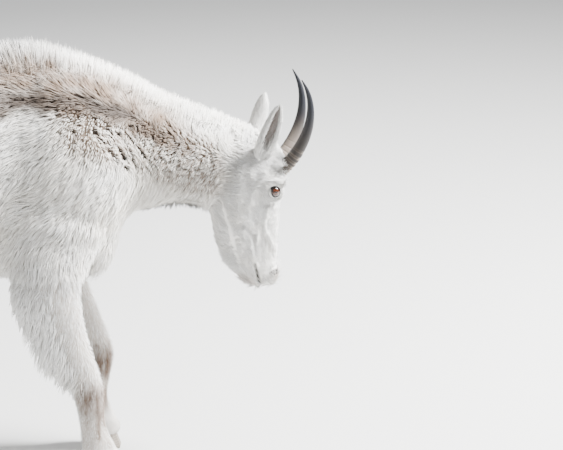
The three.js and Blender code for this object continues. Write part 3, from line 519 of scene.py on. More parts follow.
def new_object(name, points, faces):
    """A mesh piece from points in the tables' millimetres and an array of triangles or quads."""
    mesh = bpy.data.meshes.new(name)
    points = to_frame(points)
    faces = np.asarray(faces, np.int32)
    sides = faces.shape[1]
    mesh.vertices.add(len(points))
    mesh.vertices.foreach_set("co", points.astype(np.float32).ravel())
    mesh.loops.add(faces.size)
    mesh.loops.foreach_set("vertex_index", faces.ravel())
    mesh.polygons.add(len(faces))
    mesh.polygons.foreach_set("loop_start", np.arange(0, faces.size, sides, dtype=np.int32))
    mesh.polygons.foreach_set("loop_total", np.full(len(faces), sides, np.int32))
    mesh.update(calc_edges=True)
    mesh.polygons.foreach_set("use_smooth", np.full(len(faces), True))
    piece = bpy.data.objects.new(name, mesh)
    bpy.context.scene.collection.objects.link(piece)
    return piece


def outward(points, faces):
    """Faces turned, all together, so that the closed shape's volume is positive."""
    a, b, c = points[faces[:, 0]], points[faces[:, 1]], points[faces[:, 2]]
    volume = np.einsum("ij,ij->i", a, np.cross(b, c)).sum()
    if faces.shape[1] == 4:
        volume += np.einsum("ij,ij->i", a, np.cross(c, points[faces[:, 3]])).sum()
    return faces if volume > 0 else faces[:, ::-1]


def set_colours(mesh, colours):
    """A colour for each point of a mesh."""
    layer = mesh.color_attributes.new("Coat", "FLOAT_COLOR", "POINT")
    opaque = np.column_stack([colours, np.ones(len(colours))])
    layer.data.foreach_set("color", opaque.astype(np.float32).ravel())


# Noise and clumps, fixed by their seeds
def hashed(cells, seed):
    """A fixed number from 0 to 1 for each whole-numbered cell."""
    h = (cells[:, 0] * 73856093) ^ (cells[:, 1] * 19349663) ^ (cells[:, 2] * 83492791) ^ (seed * 2654435761)
    for _ in range(2):
        h &= 0xFFFFFFFF
        h = (h ^ (h >> 16)) * 0x45D9F3B
    h &= 0xFFFFFFFF
    return (h ^ (h >> 16)) / 0xFFFFFFFF


def corners_of(low, high):
    steps = range(low, high + 1)
    return [np.array((a, b, c)) for a in steps for b in steps for c in steps]


def noise(p, size, seed):
    """Smooth noise from -1 to 1."""
    q = p / size
    cell = np.floor(q).astype(np.int64)
    t = q - cell
    t = t * t * (3 - 2 * t)
    total = np.zeros(len(p))
    for corner in corners_of(0, 1):
        total += np.prod(np.where(corner == 1, t, 1 - t), axis=1) * hashed(cell + corner, seed)
    return total * 2 - 1


def clumps(p, size, seed):
    """The nearest clump's middle for each point, its own number, and how clear of its edge the point is."""
    q = p / size
    cell = np.floor(q).astype(np.int64)
    first = np.full(len(p), 9.0)
    second = np.full(len(p), 9.0)
    middle = np.zeros_like(q)
    tag = np.zeros(len(p))
    for corner in corners_of(-1, 1):
        c = cell + corner
        spot = c + np.stack([hashed(c, seed + k) for k in range(3)], 1)
        d = np.linalg.norm(spot - q, axis=1)
        closer = d < first
        second = np.where(closer, first, np.minimum(second, d))
        first = np.where(closer, d, first)
        middle[closer] = spot[closer]
        tag[closer] = hashed(c, seed + 5)[closer]
    return middle * size, tag, second - first


# Wool of the neck's side: small clumps, longer along the way that the cracks run
WOOL_RUN = np.array([0.59, 0.0, -0.81])
WOOL_ACROSS = np.array([0.81, 0.0, 0.59])
WOOL_SIZE = 7.5
WOOL_STRETCH = 0.42


def wool_zone(p, w):
    """Where the coat is crinkled wool."""
    up = 48 * ramp(190, 310, p[:, 0])
    own = ramp(20, 110, p[:, 0]) * ramp(96, 124, w["below"] + up) * ramp(232, 182, w["below"])
    return own * (1 - w["head"]) * ramp(455, 420, p[:, 0])


def wool_clumps(p):
    """The way to the middle of the point's clump of wool, and how clear of the clump's edge the point is."""
    flat = np.stack([p @ WOOL_RUN * WOOL_STRETCH, p[:, 1], p @ WOOL_ACROSS], 1)
    middle, _, clear = clumps(flat, WOOL_SIZE, 45)
    gap = middle - flat
    return gap[:, 2:] * WOOL_ACROSS + gap[:, 1:2] * [0, 1, 0] + gap[:, :1] * 0.6 * WOOL_RUN, clear


# The coat's marks, and colours that also serve as painted shade
def linear(r, g, b):
    c = np.array((r, g, b), float)
    return np.where(c > 0.04045, ((c + 0.055) / 1.055) ** 2.4, c / 12.92)


WHITE = linear(0.985, 0.98, 0.965)
CREAM = linear(0.95, 0.925, 0.88)
TAN = linear(0.54, 0.46, 0.395)
UMBER = linear(0.31, 0.27, 0.24)
KNEE_BROWN = linear(0.43, 0.34, 0.28)
ASH = linear(0.68, 0.64, 0.60)
EAR_BROWN = linear(0.33, 0.25, 0.22)
EAR_GREY = linear(0.56, 0.53, 0.51)
# Dark bare skin of lips and nostrils; also the painted shade of the mouth's cleft, the nostrils' slits and a
# slit in each ear's hollow
DARK_SKIN_AND_SHADE = linear(0.15, 0.12, 0.11)
CHIN_BROWN = linear(0.60, 0.54, 0.49)
# The skin's tone beneath the fur: partly the underwool's darker tone, partly painted shade between the tufts
SKIN_SHADE = linear(0.62, 0.56, 0.51)


def mix(colours, other, share):
    return colours + (other - colours) * np.clip(share, 0, 1)[:, None]


# Places on the body: x, distance out, z and half-sizes
CHIN = (500, 0, 446, 50, 42, 46)
SNOUT = (562, 21, 452, 20, 16, 22)
NOSE = (561, 19, 455, 40, 30, 32)
NOSTRIL_EDGE = (561, 25, 457, 24, 22, 18)
BEARD = (508, 0, 424, 34, 40, 26)
JAW_TUFT = (466, 22, 494, 30, 44, 22)
BEFORE_EAR = (520, 58, 696, 36, 28, 28)
FOREHEAD = (590, 20, 690, 30, 50, 30)
HORN_COLLAR = (578, 34, 712, 36, 32, 36)
CHEST_FRINGE = (140, 0, 520, 80, 110, 80)


def near(p, x, y, z, rx, ry, rz):
    """1 at a place, falling to 0 at its half-sizes; y counts on both sides."""
    d = np.sqrt(((p[:, 0] - x) / rx) ** 2 + ((np.abs(p[:, 1]) - y) / ry) ** 2 + ((p[:, 2] - z) / rz) ** 2)
    return ramp(1, 0.35, d)


def knee_marks(p, base):
    """Brown knees with streaks running down from them, and duller feet."""
    x, z = p[:, 0], p[:, 2]
    front = x > LEG_SPLIT
    for name, rows in LEGS.items():
        fore = name.startswith("fore")
        own = (np.sign(p[:, 1]) == side_of(name)) & (front == fore) & (z < 420)
        q = p[own]
        if not len(q):
            continue
        height = q[:, 2]
        knee = 236 if fore else 322
        middle = np.interp(height, [r[2] for r in rows[::-1]], [r[0] for r in rows[::-1]])
        ahead = q[:, 0] - middle + 9 * noise(q, 16, 26)
        ragged = height + 26 * noise(q * [1, 1, 0.4], 7, 27)
        patch = ramp(knee - 84, knee - 48, ragged) * ramp(knee + 36, knee + 10, ragged)
        patch = patch * ramp(-32, -12, ahead)
        streak = ramp(knee - 168, knee - 100, height) * ramp(knee + 20, knee - 10, height)
        streak = streak * ramp(-34, -8, ahead) * ramp(-0.15, 0.35, noise(q * [2.2, 2.2, 0.35], 20, 25))
        tone = mix(base[own], TAN, streak * 0.85)
        tone = mix(tone, KNEE_BROWN, patch * (0.62 + 0.45 * noise(q * [2, 2, 0.5], 8, 37)))
        base[own] = mix(tone, ASH, ramp(120, 55, height) * 0.5)
    return base


def coat_colour(p):
    """The marks of skin and coat, with painted shade under the crest's band, between the wool's clumps, in
    the mouth's cleft and in the nostrils.
    """
    w = zones(p)
    x, below = p[:, 0], w["below"]
    body = 1 - w["head"]
    base = np.repeat(CREAM[None], len(p), 0)
    clean = 0.45 + 0.35 * noise(p, 90, 21) + 0.25 * noise(p, 26, 22)
    base = mix(base, WHITE, clean + 0.5 * w["leg"] + 0.5 * w["head"])
    along = ramp(-620, -250, x) * ramp(400, 290, x)
    ragged = below + 9 * noise(p, 18, 28)
    low = 24 * ramp(150, 20, x)
    band = ramp(15, 44, ragged) * ramp(134 + low, 100 + low, ragged) * body * along
    base = mix(base, TAN, band * (0.86 + 0.35 * noise(p, 30, 23) + 0.3 * noise(p, 7, 29)))
    # Painted shade: the darkest umber along the band's lower edge stands for the shadow under the
    # overhanging crest hair, over the band's own darker brown.
    deep = ramp(64 + low, 92 + low, ragged) * ramp(128 + low, 108 + low, ragged) * body * along
    base = mix(base, UMBER, deep * ramp(-420, -160, x) * (0.95 + 0.45 * noise(p, 24, 24)))
    # Painted shade: tan at the edges of the wool's clumps, for the shade in the gaps between them.
    wool = wool_zone(p, w)
    woolly = wool > 0.02
    if woolly.any():
        _, clear = wool_clumps(p[woolly])
        base[woolly] = mix(base[woolly], TAN, wool[woolly] * ramp(0.24, 0.04, clear) * 0.85)
    base = knee_marks(p, base)
    chin = near(p, *CHIN) * w["head"]
    base = mix(base, CHIN_BROWN, chin * 0.7)
    snout = near(p, *SNOUT) * w["head"]
    base = mix(base, CHIN_BROWN, snout * 0.6)
    # The mouth's line: the lips' dark skin, with painted shade in the cleft between them.
    off, down = (p - MOUTH_CENTRE) @ MOUTH_ACROSS, (p - MOUTH_CENTRE) @ MOUTH_DOWN
    lips_and_cleft_shade = np.exp(-((off / 2.6) ** 2)) * ramp(-10, -2, down)
    base = mix(base, DARK_SKIN_AND_SHADE * 0.7, lips_and_cleft_shade * w["head"])
    # The nostrils near-black: painted shade inside each slit, over the dark bare skin at its rim.
    run, rest = from_nostril(p)
    return mix(base, DARK_SKIN_AND_SHADE * 0.3, 1.4 * np.exp(-((run / 12.0) ** 4)) * np.exp(-((rest / 5.4) ** 4)))


# Furrows in the wool of neck and shoulder, on each side: half-width, then the points of each crack's line
FURROWS = [
    (1.7, [(142, 128, 833), (167, 130, 801), (191, 125, 767), (213, 111, 745)]),
    (1.5, [(174, 114, 833), (188, 115, 801), (211, 110, 765)]),
    (0.8, [(200, 104, 819), (217, 104, 792), (234, 97, 745)]),
    (0.5, [(225, 87, 829), (236, 93, 794), (256, 87, 762)]),
    (0.5, [(99, 140, 837), (105, 148, 806)]),
    (0.6, [(160, 122, 822), (172, 125, 806), (183, 124, 790)]),
]


def furrow(p):
    """How far each point is from the edge of the nearest crack, and the way that leads away from it."""
    q = folded(p)
    q = q + columns(noise(q, 12, 71), 0, noise(q, 12, 72)) * 1.5
    best = np.full(len(p), 1e3)
    away = np.zeros_like(q)
    for half, line in FURROWS:
        for a, b in zip(line[:-1], line[1:]):
            a, b = np.array(a, float), np.array(b, float)
            t = np.clip((q - a) @ (b - a) / ((b - a) @ (b - a)), 0, 1)
            gap = (q - a - t[:, None] * (b - a)) * [1, 0, 1]
            d = np.linalg.norm(gap, axis=1) - half
            closer = d < best
            best[closer] = d[closer]
            away[closer] = gap[closer]
    away[:, 1] *= np.sign(p[:, 1])
    return best, unit(away)


# The number of the head's tile on the atlas
HEAD_TILE = 2


class Atlas:
    """An unwrap of the skin's own shape: a tile for each part, along it and round it."""

    def __init__(self):
        parts = dict(trunk=TRUNK_CHAIN, neck=NECK_CHAIN, head=HEAD_CHAIN, tail=TAIL_CHAIN, **LEG_CHAINS)
        self.parts = list(parts.values())
        tiles = {
            "trunk": (0.0, 0.0, 0.5, 0.62), "neck": (0.5, 0.0, 0.78, 0.34), "head": (0.5, 0.34, 0.78, 0.74),
            "tail": (0.78, 0.0, 1.0, 0.14), "foreleg_right": (0.0, 0.62, 0.25, 1.0),
            "foreleg_left": (0.25, 0.62, 0.5, 1.0), "hindleg_right": (0.5, 0.74, 0.75, 1.0),
            "hindleg_left": (0.75, 0.74, 1.0, 1.0),
        }
        self.tiles = np.array([tiles[name] for name in parts])

    def part_of(self, p):
        return np.argmin(np.stack([chain.distance(p) for chain in self.parts], 1), 1)

    def place(self, p, part):
        """Along and round, each from 0 to 1, on the given part."""
        out = np.zeros((len(p), 2))
        for number, chain in enumerate(self.parts):
            own = part == number
            if own.any():
                out[own] = along_and_round(chain, p[own])
        return out

    def uv(self, place, part):
        x0, y0, x1, y1 = self.tiles[part].T
        share = 0.04 + place * 0.92
        return np.stack([x0 + share[:, 0] * (x1 - x0), y0 + share[:, 1] * (y1 - y0)], 1)


def along_and_round(chain, p):
    centres = chain.centres
    steps = np.linalg.norm(np.diff(centres, axis=0), axis=1)
    starts = np.concatenate([[0], np.cumsum(steps)])
    best = np.full(len(p), 1e9)
    along = np.zeros(len(p))
    angle = np.zeros(len(p))
    end = 120.0
    for number, (a, t, side, up, length, *_rest) in enumerate(chain.segments):
        d = p - a
        run = d @ t
        h = np.clip(run, 0, length)
        over = run - h
        lateral, rise = d @ side, d @ up
        radial = np.hypot(lateral, rise)
        gap = radial**2 + over**2
        closer = gap < best
        best = np.where(closer, gap, best)
        past = np.sign(over) * (np.abs(over) * 0.5 + np.maximum(end - radial, 0) * 0.5)
        inner = (number == 0) & (over < 0) | (number == len(chain.segments) - 1) & (over > 0)
        along = np.where(closer, starts[number] + h + np.where(inner, past, 0), along)
        angle = np.where(closer, np.arctan2(lateral, rise), angle)
    return np.stack([angle / (2 * math.pi) + 0.5, np.clip((along + end) / (starts[-1] + 2 * end), 0, 1)], 1)


def set_uv(mesh, values):
    """The bake's map from one value for each face corner."""
    layer = mesh.uv_layers.new(name="OFBake")
    layer.data.foreach_set("uv", np.asarray(values, np.float32).ravel())


def unwrap_faces(piece, points, faces, atlas):
    """Lay the faces on the atlas with no face torn across a tile's edge."""
    part = atlas.part_of(points[faces].mean(1))
    middle = atlas.place(points[faces].mean(1), part)
    corners = np.zeros((*faces.shape, 2))
    for k in range(faces.shape[1]):
        place = atlas.place(points[faces[:, k]], part)
        place[:, 0] += np.round(middle[:, 0] - place[:, 0])
        corners[:, k] = atlas.uv(np.clip(place, -0.04, 1.04), part)
    set_uv(piece.data, corners.reshape(-1, 2))


def lie_of(p, w):
    """The way the coat lies at each point."""
    x, y, z = p[:, 0], p[:, 1], p[:, 2]
    lie = columns(-0.72, np.sign(y) * 0.15, -0.62)
    low = ramp(640, 520, z)[:, None]
    lie = lie + (np.array([-0.25, 0, -0.95]) - lie) * low
    high = ramp(150, 60, w["below"])[:, None]
    lie = lie + (np.array([-0.9, 0, -0.25]) - lie) * high * (1 - w["crest"][:, None])
    slope_x = (crest_z(x + 20) - crest_z(x - 20)) / 40
    stand = (ramp(125, 60, w["below"]) * (1 - w["head"]) * ramp(-760, -300, x))[:, None]
    lie = lie + (columns(-slope_x - 0.25, np.sign(y) * 0.35, 0.9) - lie) * stand
    throat = (w["neck"] * ramp(120, 220, w["below"]))[:, None]
    lie = lie + (np.array([-0.35, 0, -0.9]) - lie) * throat
    leg = w["leg"][:, None]
    lie = lie + (np.array([-0.22, 0, -0.97]) - lie) * leg
    face = w["head"] * ramp(700, 640, z)
    up_face = columns(-0.35, np.sign(y) * 0.2, 0.9)
    jaw = ramp(505, 470, x)[:, None]
    up_face = up_face + (np.array([-0.55, 0, 0.35]) - up_face) * jaw
    lie = lie + (up_face - lie) * face[:, None]
    poll = (w["head"] * ramp(650, 720, z))[:, None]
    lie = lie + (columns(-0.7, np.sign(y) * 0.3, 0.55) - lie) * poll
    swirl = 0.35 * (1 - w["head"])[:, None]
    turn = columns(*(noise(p, 70, seed) for seed in (31, 32, 33)))
    fine = columns(*(noise(p, 24, seed) for seed in (34, 35, 36)))
    return unit(lie + turn * swirl + fine * 0.22)


def sample(points, faces, normals, count, weight, generator):
    """Random places on a mesh, as many as count, more where weight is higher."""
    tri = np.concatenate([faces[:, [0, 1, 2]], faces[:, [0, 2, 3]]])
    a, b, c = points[tri[:, 0]], points[tri[:, 1]], points[tri[:, 2]]
    area = np.linalg.norm(np.cross(b - a, c - a), axis=1) / 2
    chance = area * weight((a + b + c) / 3)
    chance /= chance.sum()
    slots = (np.arange(count) + generator.random(count)) / count
    pick = np.clip(np.searchsorted(np.cumsum(chance), slots), 0, len(tri) - 1)
    u, v = generator.random(count), generator.random(count)
    over = u + v > 1
    u[over], v[over] = 1 - u[over], 1 - v[over]
    root = a[pick] + u[:, None] * (b - a)[pick] + v[:, None] * (c - a)[pick]
    shares = zip(tri[pick].T, (1 - u - v, u, v))
    return root, sum(normals[corner] * share[:, None] for corner, share in shares)


# Each ring's share of a tuft's width, and the ring's three corners: across, and up or down
RING_SIZES = (1.0, 0.66)
RING_CORNERS = ((1, -0.4), (0, 0.8), (-1, -0.4))


def tuft_mesh(name, path, width, up, colours, uv, soft=0.75):
    """Closed tapered tufts: root, rings and tip on each path, or a ring and a tip where it has two stops.

    There is one colour for each stop of the path, darkened towards the root as painted shade. The higher
    soft is, the rounder each tuft is shaded.
    """
    count, stops, _ = path.shape
    first = min(stops - 2, 1)
    rings = stops - 1 - first
    size = first + 3 * rings + 1
    points = np.empty((count, size, 3))
    shading = np.repeat(up[:, None], size, 1)
    points[:, 0] = path[:, 0]
    points[:, -1] = path[:, -1]
    under = ramp(0.05, -0.6, up[:, 2])[:, None]
    for k in range(rings):
        at = first + k
        run = unit(path[:, at + 1] - path[:, max(at - 1, 0)])
        side = unit(np.cross(run, up))
        rise = np.cross(side, run)
        half = (width * RING_SIZES[k] / 2)[:, None]
        for turn, (across, high) in enumerate(RING_CORNERS):
            points[:, first + 3 * k + turn] = path[:, at] + side * half * across + rise * half * high
            round_way = side * across + rise * (2.2 * high)
            soft_way = up + side * (soft * across) + rise * 0.3
            shading[:, first + 3 * k + turn] = unit(soft_way + (round_way - soft_way) * under)
    faces = [] if first else [(0, 2, 1)]
    for j in range(3):
        m = (j + 1) % 3
        if first:
            faces.append((0, 1 + m, 1 + j))
        for low in range(first, first + 3 * (rings - 1), 3):
            faces += [(low + j, low + m, low + 3 + m), (low + j, low + 3 + m, low + 3 + j)]
        last = size - 4
        faces.append((last + j, last + m, size - 1))
    faces = outward(points[0], np.array(faces))
    every = (faces[None] + np.arange(count)[:, None, None] * size).reshape(-1, 3)
    piece = new_object(name, points.reshape(-1, 3), every)
    piece.data.normals_split_custom_set_from_vertices(shading.reshape(-1, 3))
    # Painted shade: every tuft darker towards its root, for the shade deep in the coat.
    reach = np.linalg.norm(path - path[:, :1], axis=2).mean(0)
    reach /= reach[-1]
    stop_of = np.repeat(np.arange(first, stops - 1), 3)
    stop_of = np.concatenate([[0] * first, stop_of, [stops - 1]]).astype(int)
    shade = 0.6 + 0.42 * np.sqrt(reach[stop_of])
    tint = colours[:, stop_of] * shade[None, :, None]
    set_colours(piece.data, np.clip(tint, 0, 1).reshape(-1, 3))
    spread = np.zeros((size, 2))
    for k in range(rings):
        start = first + 3 * k
        spread[start : start + 3, 0] = (-0.0012, 0, 0.0012)
        spread[start : start + 3, 1] = np.array([0.0008, 0.0003, 0.0008]) * (k + 1)
    spread[-1] = (0, 0.0026)
    corner = (uv[:, None] + spread[None]).reshape(-1, 2)[every.ravel()]
    set_uv(piece.data, corner)
    return piece


# Materials
def node(tree, kind, **values):
    made = tree.nodes.new(kind)
    for key, value in values.items():
        if key in made.inputs:
            made.inputs[key].default_value = value
        else:
            setattr(made, key, value)
    return made


def hair_grain_group():
    """Fine grain of short hair: a colour with small variation, and the bump's height."""
    tree = bpy.data.node_groups.new("hair_grain", "ShaderNodeTree")
    for label, way, kind in (
        ("Colour", "INPUT", "Color"), ("Vector", "INPUT", "Vector"), ("Scale", "INPUT", "Float"),
        ("Depth", "INPUT", "Float"), ("Colour", "OUTPUT", "Color"), ("Height", "OUTPUT", "Float"),
    ):
        tree.interface.new_socket(label, in_out=way, socket_type="NodeSocket" + kind)
    given = node(tree, "NodeGroupInput")
    result = node(tree, "NodeGroupOutput")
    fine = node(tree, "ShaderNodeTexNoise", Detail=3.0, Roughness=0.6)
    broad = node(tree, "ShaderNodeTexNoise", Detail=2.0, Scale=60.0)
    spread = node(tree, "ShaderNodeMapRange")
    spread.inputs["To Min"].default_value = 0.8
    spread.inputs["To Max"].default_value = 1.12
    total = node(tree, "ShaderNodeMath", operation="ADD")
    half = node(tree, "ShaderNodeMath", operation="MULTIPLY")
    half.inputs[1].default_value = 0.5
    deep = node(tree, "ShaderNodeMath", operation="MULTIPLY")
    tint = node(tree, "ShaderNodeMixRGB", blend_type="MULTIPLY", Fac=1.0)
    link = tree.links.new
    link(given.outputs["Vector"], fine.inputs["Vector"])
    link(given.outputs["Vector"], broad.inputs["Vector"])
    link(given.outputs["Scale"], fine.inputs["Scale"])
    link(fine.outputs["Fac"], total.inputs[0])
    link(broad.outputs["Fac"], total.inputs[1])
    link(total.outputs[0], half.inputs[0])
    link(half.outputs[0], spread.inputs["Value"])
    link(given.outputs["Colour"], tint.inputs["Color1"])
    link(spread.outputs["Result"], tint.inputs["Color2"])
    link(fine.outputs["Fac"], deep.inputs[0])
    link(given.outputs["Depth"], deep.inputs[1])
    link(tint.outputs["Color"], result.inputs["Colour"])
    link(deep.outputs[0], result.inputs["Height"])
    return tree


HAIR_GRAIN = hair_grain_group()


def coat_material(name, scale, strength, rough, sheen=0.0, wet=0.0):
    """Colour from the Coat attribute, with the grain of hair. With wet above 0 it has a clear layer."""
    made = bpy.data.materials.new(name)
    made.use_nodes = True
    tree = made.node_tree
    shader = tree.nodes["Principled BSDF"]
    colour = node(tree, "ShaderNodeAttribute", attribute_name="Coat")
    place = node(tree, "ShaderNodeTexCoord")
    grain = node(tree, "ShaderNodeGroup", node_tree=HAIR_GRAIN)
    grain.inputs["Scale"].default_value = scale
    grain.inputs["Depth"].default_value = 1.0
    bump = node(tree, "ShaderNodeBump", Strength=strength, Distance=0.0015)
    tree.links.new(colour.outputs["Color"], grain.inputs["Colour"])
    tree.links.new(place.outputs["Object"], grain.inputs["Vector"])
    tree.links.new(grain.outputs["Colour"], shader.inputs["Base Color"])
    tree.links.new(grain.outputs["Height"], bump.inputs["Height"])
    tree.links.new(bump.outputs["Normal"], shader.inputs["Normal"])
    shader.inputs["Roughness"].default_value = rough
    shader.inputs["Specular IOR Level"].default_value = 0.25
    shader.inputs["Sheen Weight"].default_value = sheen
    shader.inputs["Sheen Roughness"].default_value = 0.5
    shader.inputs["Coat Weight"].default_value = wet
    shader.inputs["Coat Roughness"].default_value = 0.02
    return made


def streaked_material(name, across, along, strength, rough, coat, specular):
    """Horn: colour from the Coat attribute, with fine streaks that follow the piece's own Grain map."""
    made = bpy.data.materials.new(name)
    made.use_nodes = True
    tree = made.node_tree
    link = tree.links.new
    shader = tree.nodes["Principled BSDF"]
    colour = node(tree, "ShaderNodeAttribute", attribute_name="Coat")
    place = node(tree, "ShaderNodeUVMap", uv_map="Grain")
    squeeze = node(tree, "ShaderNodeMapping")
    squeeze.inputs["Scale"].default_value = (across, along, 1)
    grain = node(tree, "ShaderNodeGroup", node_tree=HAIR_GRAIN)
    grain.inputs["Scale"].default_value = 1.0
    grain.inputs["Depth"].default_value = 1.0
    gloss = node(tree, "ShaderNodeMapRange")
    gloss.inputs["To Min"].default_value = rough - 0.12
    gloss.inputs["To Max"].default_value = rough + 0.15
    bump = node(tree, "ShaderNodeBump", Strength=strength, Distance=0.0008)
    link(colour.outputs["Color"], grain.inputs["Colour"])
    link(place.outputs["UV"], squeeze.inputs["Vector"])
    link(squeeze.outputs["Vector"], grain.inputs["Vector"])
    link(grain.outputs["Colour"], shader.inputs["Base Color"])
    link(grain.outputs["Height"], gloss.inputs["Value"])
    link(grain.outputs["Height"], bump.inputs["Height"])
    link(gloss.outputs["Result"], shader.inputs["Roughness"])
    link(bump.outputs["Normal"], shader.inputs["Normal"])
    shader.inputs["Coat Weight"].default_value = coat
    shader.inputs["Coat Roughness"].default_value = 0.2
    shader.inputs["Specular IOR Level"].default_value = specular
    return made


def hoof_material(name, dark, light):
    """Hoof horn: growth bands across, scuffed streaks down, on Object coordinates."""
    made = bpy.data.materials.new(name)
    made.use_nodes = True
    tree = made.node_tree
    link = tree.links.new
    shader = tree.nodes["Principled BSDF"]
    place = node(tree, "ShaderNodeTexCoord")
    wave = node(tree, "ShaderNodeTexWave", bands_direction="Z", Scale=55.0, Distortion=2.5)
    squeeze = node(tree, "ShaderNodeMapping")
    squeeze.inputs["Scale"].default_value = (260, 260, 45)
    grain = node(tree, "ShaderNodeGroup", node_tree=HAIR_GRAIN)
    grain.inputs["Scale"].default_value = 1.0
    grain.inputs["Depth"].default_value = 0.7
    colours = node(tree, "ShaderNodeMixRGB", blend_type="MIX")
    colours.inputs["Color1"].default_value = (*dark, 1)
    colours.inputs["Color2"].default_value = (*light, 1)
    total = node(tree, "ShaderNodeMath", operation="MULTIPLY_ADD")
    total.inputs[1].default_value = 0.35
    bump = node(tree, "ShaderNodeBump", Strength=0.45, Distance=0.001)
    link(place.outputs["Object"], wave.inputs["Vector"])
    link(place.outputs["Object"], squeeze.inputs["Vector"])
    link(squeeze.outputs["Vector"], grain.inputs["Vector"])
    link(wave.outputs["Fac"], total.inputs[0])
    link(grain.outputs["Height"], total.inputs[2])
    link(total.outputs[0], colours.inputs["Fac"])
    link(total.outputs[0], bump.inputs["Height"])
    link(colours.outputs["Color"], grain.inputs["Colour"])
    link(grain.outputs["Colour"], shader.inputs["Base Color"])
    link(bump.outputs["Normal"], shader.inputs["Normal"])
    shader.inputs["Roughness"].default_value = 0.55
    return made


SKIN = coat_material("skin_short_hair", 900.0, 0.5, 0.85)
FUR = coat_material("fur", 1400.0, 0.2, 0.7, 0.1)
HORN_MATERIAL = streaked_material("horn_dark", 46.0, 2.5, 0.6, 0.5, 0.04, 0.18)
HOOF_MATERIAL = hoof_material("hoof_grey", linear(0.30, 0.28, 0.26), linear(0.60, 0.56, 0.51))
EYE_MATERIAL = coat_material("eye_wet", 2600.0, 0.02, 0.12, wet=1.0)


def finish_piece(piece, slot, material, *nodes):
    piece.data.materials.append(material)
    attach(piece, "root")
    if nodes:
        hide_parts(*nodes)
    return piece


# Skin
FLESH = ["chest", "barrel", "rump", "tail", "neck", "head"]
FLESH += [f"foreleg_{side}_{part}" for side in ("right", "left") for part in ("forearm", "cannon")]
FLESH += [f"hindleg_{side}_{part}" for side in ("right", "left") for part in ("shank", "cannon")]
FLESH += ["ear_right", "ear_left"]
# The skin's grid along x, y and z: places and the step from there on, finest on the face
SKIN_GRID = (
    [(-962, 8), (-150, 7.5), (450, 3.6), (600, 4)],
    [(-204, 8), (-116, 6), (-84, 3.8), (84, 6), (116, 8), (210, 8)],
    [(20, 8), (420, 3.2), (520, 4.5), (625, 3.2), (700, 5), (880, 8), (1044, 8)],
)
# Ear stations: x, distance out, z, half-width and depth; the root is sunk in the head
EAR_ROOT = (514, 34, 716, 13, 12)
EAR = [
    (526, 46, 738, 15, 14), (526, 58, 757, 18, 15), (532, 70, 782, 20, 14), (540, 80, 807, 21, 11.5),
    (547, 88, 831, 19, 9), (552, 94, 850, 14, 6), (556, 98, 864, 7, 3.5), (558, 100, 870, 1.5, 1.5),
]
# The way each ear's cup faces, on its own side, and how upright the ear is held
EAR_POSES = {-1: (np.array([0.3, 0.9, 0.12]), 1.0), 1: (np.array([0.72, 0.66, 0.12]), 0.86)}
EAR_WALL = 3.2
EAR_SKIN = 0.87
EAR_STEPS = 17


def ear_mesh(side):
    """One ear, a folded leaf. Marks of each point: 1 in the hollow, 1 on the rim, and the place across."""
    facing, rise = EAR_POSES[side]
    foot = EAR[0][2]
    held = [(x, out, foot + (z - foot) * rise, half * EAR_SKIN, thick) for x, out, z, half, thick in EAR]
    rows = smooth_rows([EAR_ROOT] + held, 5)
    points, marks = [], []
    for i, (x, out, z, half, thick) in enumerate(rows):
        before, after = rows[max(i - 1, 0)], rows[min(i + 1, len(rows) - 1)]
        run = unit(after[:3] - before[:3])
        mouth = unit(facing - run * (facing @ run))
        across = np.cross(run, mouth)
        centre = np.array([x, out, z])
        open_share = ramp(744, 770, z)
        turn = np.radians(np.linspace(-128, 128, EAR_STEPS))
        wall = min(EAR_WALL, half * 0.4)
        inner_thick = (thick - wall) * open_share - thick * 0.35 * (1 - open_share)
        back = turn[::-1] * 0.96
        for angle, wide, deep in ((turn, half, thick), (back, half - wall, inner_thick)):
            ring = centre + np.outer(np.sin(angle) * wide, across) - np.outer(np.cos(angle) * deep, mouth)
            points.append(ring)
        both = np.concatenate([turn, back])
        hollow = np.concatenate([np.zeros(EAR_STEPS), np.ones(EAR_STEPS) * open_share])
        rim = ramp(math.radians(92), math.radians(124), np.abs(both))
        marks.append(np.stack([hollow, rim, np.sin(both * 0.7)], 1))
    rings, around = len(rows), 2 * EAR_STEPS
    points = np.concatenate(points) * [1, side, 1]
    faces = []
    for i in range(rings - 1):
        for j in range(around):
            m = (j + 1) % around
            faces.append((i * around + j, i * around + m, (i + 1) * around + m, (i + 1) * around + j))
    for ring, turned in ((0, False), (rings - 1, True)):
        start = ring * around
        for j in range(EAR_STEPS - 1):
            quad = (start + j, start + j + 1, start + around - 2 - j, start + around - 1 - j)
            faces.append(quad[::-1] if turned else quad)
    return points, outward(points, np.array(faces)), np.concatenate(marks)


def ear_tone(p, marks):
    """White outside and on the rims, grey in the hollow, with a brown streak down it and a dark slit of
    painted shade.
    """
    hollow = marks[:, 0] * (1 - marks[:, 1])
    streak = np.exp(-(((marks[:, 2] - 0.1) / 0.26) ** 2)) * ramp(748, 775, p[:, 2]) * ramp(862, 835, p[:, 2])
    slit = np.exp(-(((p[:, 2] - 778) / 13) ** 2)) * np.exp(-(((marks[:, 2] - 0.35) / 0.3) ** 2))
    tone = mix(np.repeat(WHITE[None], len(p), 0), EAR_GREY, hollow)
    tone = mix(tone, EAR_BROWN, hollow * streak * 0.85)
    # Painted shade: a near-black slit in the hollow.
    return mix(tone, DARK_SKIN_AND_SHADE, hollow * slit)


# Lids: half-sizes of the opening, the way the eye looks, and the opening's long way, down towards the muzzle
LID_OPENING = np.array([11.2, 9.4])
LID_LOOK = unit(np.array([0.22, 0.97, 0.05]))
LID_LONG = unit(np.array([0.36, 0.0, -0.93]))
